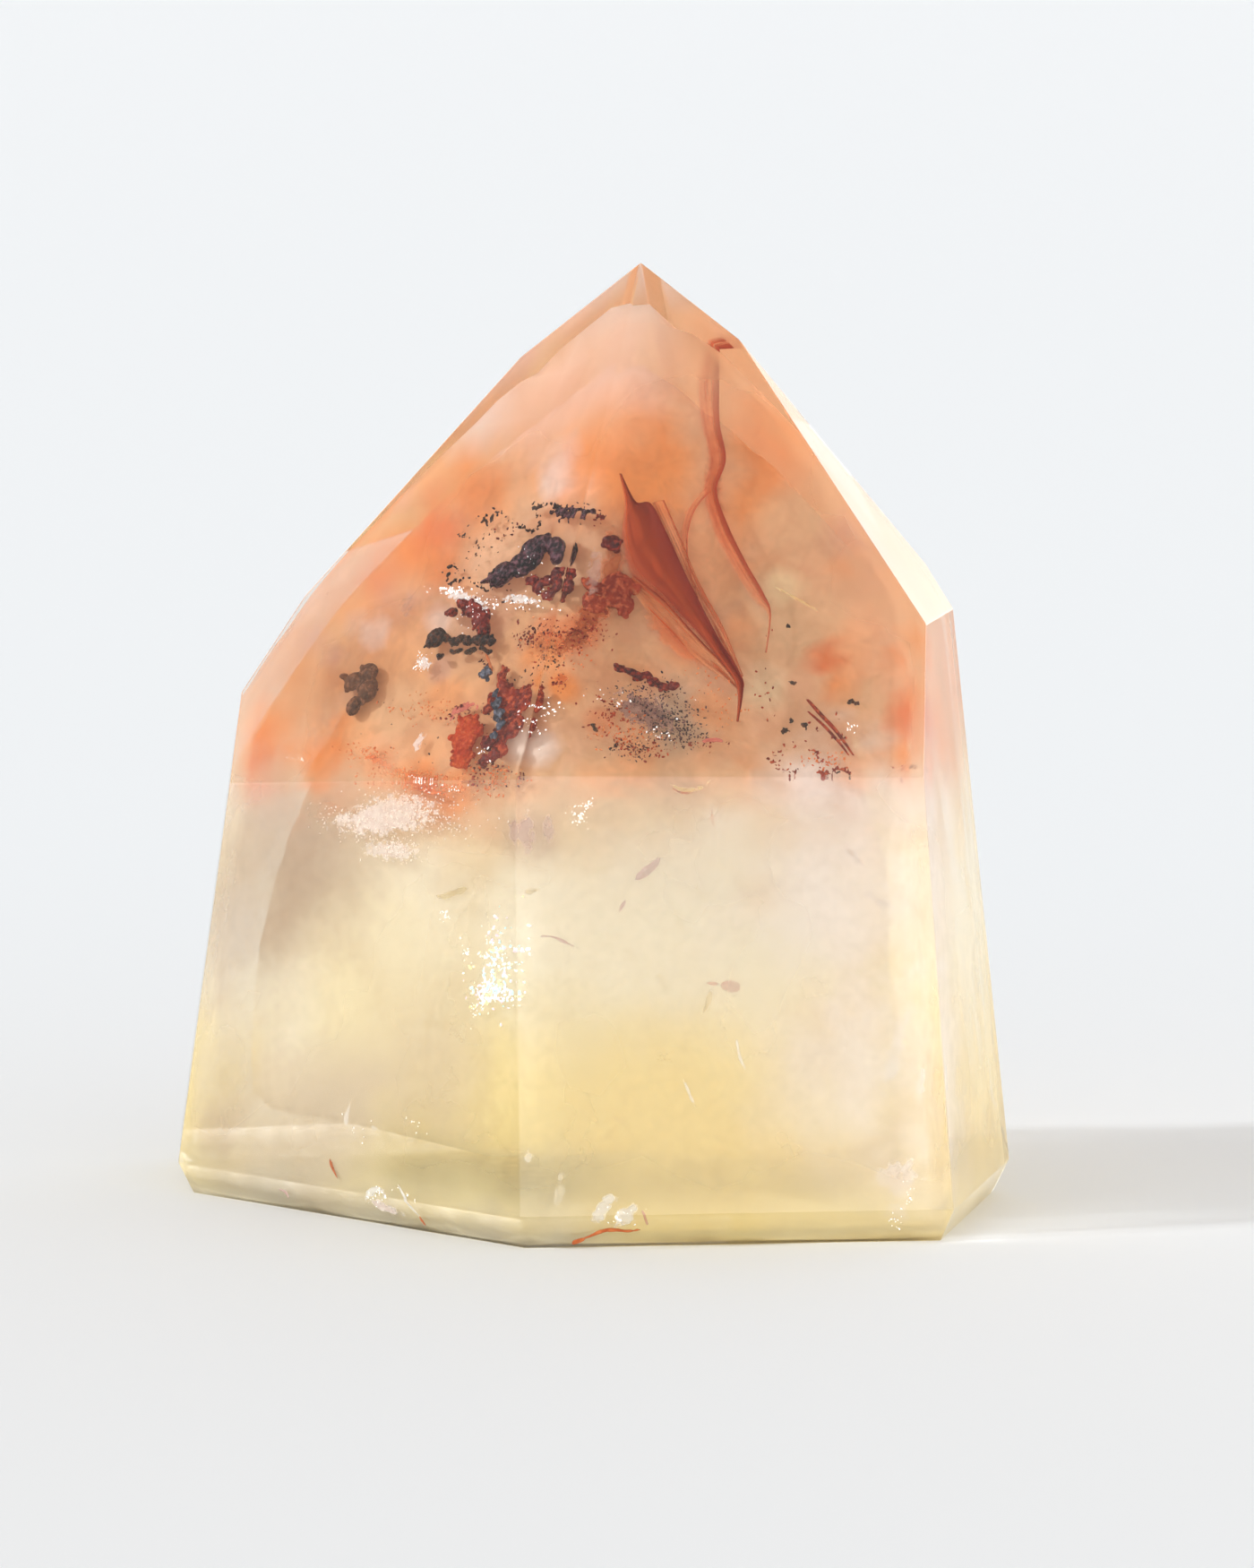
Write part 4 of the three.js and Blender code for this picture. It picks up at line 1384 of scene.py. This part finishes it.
# name: facet, depth, line, half widths, tone, cover, grain, ragged, soft
smearTable = {
    "frostPatch": (
        "frontLeft", 1.2, ((-17, -4.6), (-13, -3.8), (-9.5, -3), (-5.6, -2.6)), (1.2, 2.4), "frost",
        0.75, 2.6, 0.5, 0.35,
    ),
    "frostLow": (
        "frontLeft", 1.3, ((-13.6, -5.6), (-10.6, -5.6), (-7.6, -5.4)), (0.8, 1.1), "frost", 0.55, 3,
        0.6, 0.4,
    ),
    "mauveSmudge": (
        "front", 2, ((0.6, -1.6), (0.6, -3.4), (1, -5.4)), (1, 0.7), "mauve", 0.5, 1.6, 0.7, 0.5,
    ),
    "mauveSmudgeRight": ("front", 2.1, ((1.9, -1.6), (2.3, -4.6)), (0.6, 0.5), "mauve", 0.4, 1.8, 0.7, 0.5),
    "oliveDash": (
        "frontLeft", 2, ((-7.6, -8.3), (-6.4, -8.2), (-5, -7.7), (-3.6, -7.2)), (0.3, 0.35), "olive",
        0.75, 1.4, 0.5, 0.5,
    ),
    "oliveDot": ("front", 2, ((0.2, -7.4), (1.7, -7.1)), (0.3, 0.25), "olive", 0.6, 1.4, 0.5, 0.5),
    "loopLeft": (
        "frontLeft", 3, ((-10.4, -11.8), (-11.4, -13.4), (-11.9, -15.6), (-10.8, -18)), (0.4, 0.8),
        "olive", 0.45, 1, 0.6, 0.6,
    ),
    "loopTop": ("frontLeft", 3, ((-10.8, -11.9), (-8.6, -11.7)), (0.3, 0.3), "olive", 0.4, 1.4, 0.5, 0.6),
    "loopLow": (
        "frontLeft", 3, ((-10.2, -15.4), (-7.6, -16.6), (-5.2, -16.3), (-3.6, -14.6)), (0.4, 0.5),
        "olive", 0.4, 1, 0.7, 0.6,
    ),
    "thinLine": (
        "front", 2, ((0.4, -10.1), (2.2, -10.2), (3.2, -10.6), (4.3, -11.2)), (0.1, 0.22), "mauve",
        0.75, 2.4, 0.6, 0.4,
    ),
    "mauveBlob": (
        "front", 1.4, ((7.4, -6.9), (8.4, -6), (9.6, -5)), (0.42, 0.5), "mauve", 0.95, 1.8, 0.45, 0.25,
    ),
    "mauveBlobTail": ("front", 1.4, ((6.5, -8.7), (7.1, -7.7)), (0.22, 0.2), "mauve", 0.7, 2.4, 0.6, 0.3),
    "brownBlob": (
        "front", 1.4, ((12.9, -13.4), (13.7, -13.5), (14.6, -13.8)), (0.36, 0.6), "brown", 0.95, 1.4,
        0.3, 0.25,
    ),
    "brownBlobArm": ("front", 1.4, ((12, -13.3), (13.1, -13.4)), (0.14, 0.2), "brown", 0.8, 2.2, 0.6, 0.3),
    "brownTail": (
        "front", 1.6, ((12.5, -13.5), (12.3, -14.5), (11.7, -15.8)), (0.3, 0.34), "olive", 0.45, 1.4,
        0.4, 0.5,
    ),
    "wispA": (
        "front", 2.6, ((13.8, -5.2), (14.4, -6.9), (15.8, -8.8)), (0.3, 0.6), "smoke", 0.8, 1.6, 0.7,
        0.5,
    ),
    "wispB": (
        "front", 2.4, ((15, -7.9), (16.4, -7.2), (18.6, -5.8)), (0.9, 0.4), "smoke", 0.7, 2, 0.8, 0.5,
    ),
    "wispC": (
        "front", 2.8, ((16.8, -8.4), (18.4, -7.4), (21.4, -7.5)), (0.3, 0.4), "smoke", 0.7, 1.4, 0.8,
        0.5,
    ),
    "wispD": ("front", 2.4, ((20.8, -4.2), (22.8, -6.1)), (0.5, 0.7), "smoke", 0.6, 1.6, 0.7, 0.5),
    "wispE": ("front", 2.4, ((22, -7.3), (24.8, -8.9)), (0.3, 0.5), "smoke", 0.7, 1.6, 0.7, 0.5),
    "greenA": (
        "front", 3.4, ((10, -8.4), (10.6, -9.3), (10.4, -10.4)), (0.4, 0.6), "olive", 0.4, 1.4, 0.7,
        0.6,
    ),
    "greenB": ("front", 3, ((11.2, -6.8), (12.6, -8.4)), (0.3, 0.4), "olive", 0.35, 1.4, 0.7, 0.6),
    "greenC": ("front", 3.4, ((9, -12.4), (10, -14.3)), (0.6, 0.7), "olive", 0.35, 1.2, 0.7, 0.6),
    "greenD": ("front", 3.4, ((6.8, -10.8), (7.9, -11.9)), (0.4, 0.4), "olive", 0.3, 1.4, 0.7, 0.6),
    "greenE": ("front", 3.4, ((16, -9.4), (17.4, -11.1)), (0.5, 0.5), "olive", 0.35, 1.4, 0.7, 0.6),
    "greenF": (
        "front", 2.4, ((4.4, -6.1), (5.4, -5.9), (7, -5.5)), (0.2, 0.14), "olive", 0.5, 1.8, 0.6, 0.5,
    ),
    "brownThread": (
        "front", 2, ((12.7, -1.6), (12.7, -2.8), (13, -3.8)), (0.1, 0.2), "brown", 0.7, 2.2, 0.7, 0.4,
    ),
    "crackYellow": (
        "front", 3.4, ((15.2, -0.8), (16.6, -2), (18, -4)), (0.6, 0.8), "yellow", 0.4, 1.8, 0.8, 0.5,
    ),
    "crackPale": (
        "tipFront", 2.2, ((17, 13.6), (19.2, 12.3), (20.8, 11.2)), (0.16, 0.16), "yellow", 0.45, 1.6,
        0.5, 0.5,
    ),
    "tanSmear": (
        "front", 0.9, ((9.3, 0.1), (10.4, -0.7), (11.6, -0.8), (13, 0)), (0.22, 0.3), "yellow", 0.55,
        2.2, 0.6, 0.5,
    ),
    "tanSmearLip": (
        "front", 0.9, ((9.6, -0.4), (10.7, -1), (12, -0.9)), (0.12, 0.12), "rust", 0.5, 2.4, 0.5, 0.5,
    ),
    "paleVeil": (
        "front", 3, ((25.4, -14.6), (24.6, -18), (23.4, -21.6)), (0.7, 1.2), "white", 0.55, 1.2, 0.7,
        0.6,
    ),
    "paleVeilEdge": ("front", 3, ((26.4, -18.2), (26, -22)), (0.4, 0.5), "white", 0.4, 1.4, 0.6, 0.6),
    "paleStreakA": (
        "front", 2, ((14.1, -16.6), (14.3, -18), (14.9, -19.4)), (0.14, 0.2), "white", 0.6, 1.8, 0.6,
        0.5,
    ),
    "paleStreakB": ("front", 2, ((10.6, -19.4), (11.5, -21.6)), (0.12, 0.2), "white", 0.6, 1.8, 0.6, 0.5),
    "darkSmear": ("front", 2.4, ((5.8, -21.9), (7.4, -22.4)), (0.3, 0.3), "olive", 0.6, 1.6, 0.6, 0.6),
    "paleCorner": (
        "front", 1.2, ((22.6, -26.4), (24.4, -26.2), (26.6, -25)), (1.6, 1.9), "frost", 0.5, 1.6, 0.7,
        0.6,
    ),
    "paleCornerLow": ("front", 0.9, ((23.4, -28.4), (25.6, -28.2)), (0.9, 1), "frost", 0.5, 2.2, 0.7, 0.6),
    "whiteFlake": (
        "frontLeft", 1, ((-12.8, -22.3), (-13.1, -23.4), (-13, -24)), (0.1, 0.34), "white", 1, 1.4, 0.2,
        0.2,
    ),
    "whiteFlakeLow": (
        "frontLeft", 1, ((-11, -23.7), (-10.3, -24)), (0.16, 0.2), "white", 0.9, 2.6, 0.6, 0.2,
    ),
    "orangeScratch": (
        "frontLeft", 0.6, ((-14.2, -26.2), (-13.9, -26.9), (-13.3, -27.6)), (0.2, 0.12), "rust", 1, 2.6,
        0.4, 0.2,
    ),
    "scratchLow": (
        "frontLeft", 0.5, ((-18.7, -28.9), (-18, -29), (-17.5, -29.5)), (0.1, 0.14), "mauve", 0.8, 2.6,
        0.4, 0.3,
    ),
    "leftFan": (
        "frontLeft", 0.9, ((-11.3, -28.9), (-10.8, -28.1), (-9.8, -27.8), (-9.2, -28.6)), (0.3, 0.3),
        "white", 0.4, 1.8, 0.6, 0.5,
    ),
    "leftVeil": (
        "frontLeft", 0.8, ((-11.4, -28.4), (-9.6, -28.9), (-7.6, -29.4)), (0.7, 0.4), "frost", 0.6, 1.6,
        0.6, 0.5,
    ),
    "leftLine": (
        "frontLeft", 0.7, ((-8.7, -26.9), (-7.6, -28.2), (-6.2, -29.6)), (0.14, 0.16), "white", 0.5,
        1.2, 0.3, 0.6,
    ),
    "leftLineRed": (
        "frontLeft", 0.6, ((-6.7, -29.1), (-5.9, -29.8)), (0.12, 0.14), "rust", 0.8, 2.2, 0.4, 0.4,
    ),
    "midWhite": (
        "front", 1.2, ((2.6, -24.9), (2.5, -26.6), (1.9, -28.2)), (0.5, 0.6), "white", 0.35, 1.6, 0.8,
        0.5,
    ),
    "midWhiteLeft": ("front", 1.4, ((0.1, -24.2), (1, -24.4)), (0.7, 0.6), "white", 0.35, 1.6, 0.6, 0.6),
    "footFan": (
        "front", 0.7, ((4.3, -29.3), (5.2, -27.8), (6.4, -26.6)), (0.6, 0.8), "white", 0.4, 1.8, 0.55,
        0.6,
    ),
    "footFanRight": (
        "front", 0.7, ((5.6, -29.1), (6.8, -28.1), (7.8, -27.6)), (0.9, 0.8), "white", 0.4, 1.8, 0.55,
        0.6,
    ),
    "footFanEdge": (
        "front", 0.5, ((3.2, -30), (4.4, -29.5), (5.6, -29.1), (7, -29.2), (8.3, -29)), (0.16, 0.16),
        "rust", 1, 2.4, 0.35, 0.25,
    ),
    "footFanStart": ("front", 0.5, ((3.1, -30), (4.2, -29.6)), (0.22, 0.2), "rust", 1, 2.4, 0.3, 0.25),
    "footFanSide": (
        "front", 0.5, ((8.2, -29), (8, -28.3), (7.7, -27.7)), (0.12, 0.12), "brown", 0.9, 2.4, 0.4, 0.3,
    ),
    "pinkSmear": (
        "tipFront", 2, ((12, 2.7), (12.9, 2.9), (13.8, 2.7)), (0.3, 0.16), "pink", 0.95, 2, 0.4, 0.3,
    ),
    "pinkRim": (
        "tipFrontLeft", 2.4, ((-8.4, 3.6), (-8, 4.6), (-6.9, 5.1), (-5.9, 4.8)), (0.5, 0.4), "pink",
        0.8, 2.4, 0.7, 0.3,
    ),
    "topSpur": (
        "tipFrontLeft", 2.3, ((-7.3, 9), (-6.6, 8.2), (-5.8, 7.2)), (0.14, 0.2), "rust", 0.8, 2.4, 0.6,
        0.3,
    ),
    "orangeBlob": (
        "tipFront", 2.3, ((2.6, 7), (3.2, 7.2), (3.8, 7.4)), (0.6, 0.5), "orange", 0.9, 1.8, 0.5, 0.3,
    ),
    "baseBandLeft": (
        "tipFrontLeft", 2.6, ((-15.5, 1.3), (-12.8, 0.5), (-10.4, -0.1)), (0.5, 0.4), "orange", 0.8,
        2.4, 0.8, 0.4,
    ),
    "baseBandRight": (
        "tipFrontLeft", 2.6, ((-11.4, 0.1), (-8.6, -0.5), (-6, -0.7)), (0.4, 0.3), "orange", 0.95, 2.4,
        0.6, 0.35,
    ),
    "glintBand": (
        "tipFrontLeft", 2.1, ((-13, 12.9), (-11.2, 12.6), (-9, 11.9), (-7.4, 11.9)), (0.6, 0.9),
        "white", 0.6, 4, 0.7, 0.35,
    ),
    "glintBandRight": (
        "tipFrontLeft", 2.1, ((-7.6, 12.6), (-5.6, 12.7), (-3.6, 12.4)), (0.5, 0.4), "white", 0.5, 4.4,
        0.7, 0.35,
    ),
    "glintLow": (
        "tipFrontLeft", 2.4, ((-12.9, 8), (-12, 7.6), (-11.2, 7.3)), (0.7, 0.5), "white", 0.45, 4, 0.7,
        0.35,
    ),
    "glintBase": ("tipFrontLeft", 2.6, ((-10.8, 2.4), (-9.8, 2)), (0.9, 0.9), "frost", 0.45, 3.4, 0.7, 0.4),
    "veilGlow": (
        "tipFront", 3, ((6.6, 19), (7, 16), (6.6, 13), (4.6, 10.6)), (0.8, 1.8), "rust", 0.75, 1, 0.5,
        0.7,
    ),
    "veilGlowLow": (
        "tipFront", 3, ((8.4, 12.4), (10.6, 10), (13, 7.4)), (1.2, 0.5), "orange", 0.4, 1.2, 0.6, 0.7,
    ),
    "upperGlow": (
        "tipFront", 3.3, ((14.2, 27), (14, 23), (13.8, 19), (15.4, 14.6)), (1, 0.8), "rust", 0.45, 1,
        0.5, 0.8,
    ),
    "browCluster": (
        "tipFront", 2.4, ((2.2, 8.4), (3.4, 9.3), (4.8, 10), (6, 11)), (0.8, 0.6), "rust", 0.7, 2.4,
        0.85, 0.3,
    ),
    "brickCloud": (
        "tipFront", 2.6, ((7.4, 13.6), (6, 12.2), (4.6, 10.8), (3.2, 9.4)), (1.3, 1.1), "brick", 0.85,
        2.2, 0.7, 0.4,
    ),
    "brickLow": (
        "tipFront", 2.5, ((5.4, 11.4), (4.2, 10.2), (2.6, 9)), (0.8, 0.7), "brick", 0.7, 3.6, 0.8, 0.3,
    ),
    "duskPatch": (
        "tipFrontLeft", 2.7, ((-2.4, 17.4), (-1.6, 15.4), (-1.4, 13)), (0.9, 1.1), "dusk", 0.3, 2, 0.7,
        0.6,
    ),
    "duskLeft": (
        "tipFrontLeft", 2.8, ((-16.8, 13.4), (-15.6, 12), (-14.8, 10)), (0.9, 0.8), "dusk", 0.3, 2, 0.7,
        0.6,
    ),
    "speckGround": (
        "tipFront", 2.6, ((6, 6.3), (8.6, 5), (11.6, 3.6)), (1.7, 1.5), "dusk", 0.8, 2.6, 0.7, 0.4,
    ),
}

for number, (smearName, values) in enumerate(smearTable.items()):
    facetName, depth, line, half, tone, cover, grain, ragged, soft = values
    drawSmear(smearName, {
        "facet": facetName,
        "depth": depth,
        "line": line,
        "half": half,
        "colors": smearTones[tone],
        "cover": cover,
        "grain": grain,
        "ragged": ragged,
        "soft": soft,
        "wave": smearWave,
        "film": smearFilm,
        "seed": 50.0 + number,
        "slot": "rust_oxide" if tone in ("rust", "orange", "pink", "brick") else "citrine",
    })


def glowingGlintFinish(name, color, glow):
    # a finish that glows in its own colour: painted glint light, though no lamp is in it
    material, nodes, links, shader = newFinish(name)
    shader.inputs["Base Color"].default_value = color
    shader.inputs["Roughness"].default_value = 0.25
    shader.inputs["Emission Color"].default_value = color
    shader.inputs["Emission Strength"].default_value = glow
    material.cycles.emission_sampling = "NONE"
    return material


def rainbowGlintFinish():
    # splinters of a thin crack, each in a rainbow tint of its own, which glow a little: painted rainbow
    # glints of light on the crack
    material, nodes, links, shader = newFinish("splintersWithRainbowGlint")
    place = placeInMillimetres(nodes, links, 90.0)
    first = addCloud(nodes, links, place, scale=1.1, detail=1.0, warp=0.0, low=0.45, high=0.55)
    second = addCloud(nodes, links, place, scale=1.7, detail=1.0, warp=0.5, low=0.5, high=0.6)
    third = addCloud(nodes, links, place, scale=0.9, detail=0.0, warp=0.9, low=0.55, high=0.65)
    color = blendColors(nodes, links, first, paint(255, 255, 255), paint(208, 244, 248))
    color = blendColors(nodes, links, second, color, paint(255, 224, 244))
    color = blendColors(nodes, links, third, color, paint(250, 250, 190))
    links.new(color, shader.inputs["Base Color"])
    links.new(color, shader.inputs["Emission Color"])
    shader.inputs["Emission Strength"].default_value = 0.35
    material.cycles.emission_sampling = "NONE"
    shader.inputs["Roughness"].default_value = 0.3
    return material


finishes["spark"] = glowingGlintFinish("paintedGlintWhite", paint(255, 255, 255), 0.7)
# the frost grains are white of their own and also glow faintly, a painted glint
finishes["frost"] = glowingGlintFinish("frostGrainWithGlow", paint(255, 246, 240), 0.15)
finishes["opal"] = rainbowGlintFinish()
dust = (paint(226, 110, 52), paint(240, 146, 84), paint(246, 176, 120))
finishes["orange"] = mineralFinish("orangeDust", dust, 13.0, 0.7, 0.2)

# name: facet, depth, finish, ovals, sizes
# the sparks and plate splinters are painted glints, and the frost grains glow faintly besides their own white
sparkleSets = {
    "sparksByMauve": (
        "front", 1.2, "spark", ((3.9, -2.4, 0.9, 0.7, 34), (4.6, -1.7, 0.4, 0.5, 14)), (0.03, 0.1),
    ),
    "sparksOnClump": (
        "tipFrontLeft", 1.7, "spark",
        ((-5.9, 15, 1.8, 1.8, 14), (-8.9, 11, 1.4, 1.2, 16), (-3.9, 12.6, 1, 1.2, 10)), (0.03, 0.07),
    ),
    "sparksOnBand": (
        "tipFrontLeft", 1.9, "spark",
        ((-11.8, 12.8, 1.6, 0.3, 40), (-8.8, 12, 1.8, 0.8, 46), (-5, 12.4, 2, 0.6, 24)), (0.03, 0.11),
    ),
    "sparksLow": (
        "tipFrontLeft", 1.9, "spark",
        (
            (-4.3, 2, 0.8, 0.8, 16), (-1.4, 4.6, 1.4, 1.6, 36), (-12, 7.6, 0.8, 0.9, 24),
            (-20, 0, 0.9, 0.1, 9),
        ),
        (0.03, 0.11),
    ),
    "sparksOnLace": (
        "tipFront", 1.9, "spark",
        ((6.2, 5.6, 1.4, 0.8, 12), (21.9, 3.7, 0.3, 0.5, 12), (9.6, 3.6, 2, 1.2, 16)), (0.03, 0.09),
    ),
    "sparksBaseLine": (
        "tipFrontLeft", 1.6, "spark", ((-8.4, -0.4, 1.8, 0.12, 22), (-6, -0.6, 0.6, 0.2, 8)),
        (0.03, 0.08),
    ),
    "sparksFoot": (
        "front", 0.6, "spark",
        ((25.2, -27.2, 0.5, 1, 14), (24.4, -28.8, 0.4, 0.6, 12), (6.4, -28.2, 1.4, 1, 16)),
        (0.03, 0.08),
    ),
    "sparksLeftFoot": (
        "frontLeft", 0.7, "spark",
        (
            (-10.2, -28.3, 0.7, 0.7, 20), (-7, -23, 1.2, 0.6, 10), (-12.2, -24.2, 1.2, 0.8, 8),
            (-7.8, -27.8, 1.2, 0.8, 8),
        ),
        (0.03, 0.08),
    ),
    "sparksAbovePlate": (
        "frontLeft", 1.4, "spark",
        ((-6, -9.4, 0.7, 0.4, 16), (-4, -11.6, 0.5, 1, 20), (-3.2, -15.2, 0.4, 0.9, 14)), (0.03, 0.1),
    ),
    "plateSplinters": (
        "frontLeft", 1.5, "opal",
        ((-1.5, -12, 1.9, 2.6, 150), (-1.4, -14, 1.9, 1, 90), (-2.6, -14.4, 0.9, 0.9, 40)), (0.06, 0.2),
    ),
    "frostGrains": (
        "frontLeft", 1.15, "frost",
        ((-8.6, -3, 4.4, 1.6, 420), (-13.4, -4, 3.6, 1.2, 200), (-10, -5.4, 3, 0.8, 140)), (0.03, 0.09),
    ),
    "bandDust": (
        "tipFrontLeft", 2.5, "orange",
        (
            (-9.4, -0.2, 4.4, 0.5, 300), (-14, 1, 3, 0.7, 90), (-3.6, 0.6, 2.4, 0.9, 130),
            (-10.6, 4.6, 3, 1.4, 70),
        ),
        (0.03, 0.12),
    ),
    "gardenDust": (
        "tipFront", 2.5, "orange",
        (
            (3.4, 9.6, 2, 1.6, 130), (7.6, 3.4, 2.6, 1, 110), (13.6, 6, 2.4, 2.6, 60),
            (20.4, 1.4, 2.4, 0.8, 60),
        ),
        (0.03, 0.12),
    ),
}

for number, (setName, values) in enumerate(sparkleSets.items()):
    facetName, depth, finish, ovals, size = values
    strewGrains(setName, {
        "facet": facetName,
        "depth": depth,
        "finish": finish,
        "slot": "rust_oxide" if finish == "orange" else "citrine",
        "ovals": ovals,
        "size": size,
        "deep": 0.12,
        "melt": 0.0,
        "seed": 70 + number,
    })
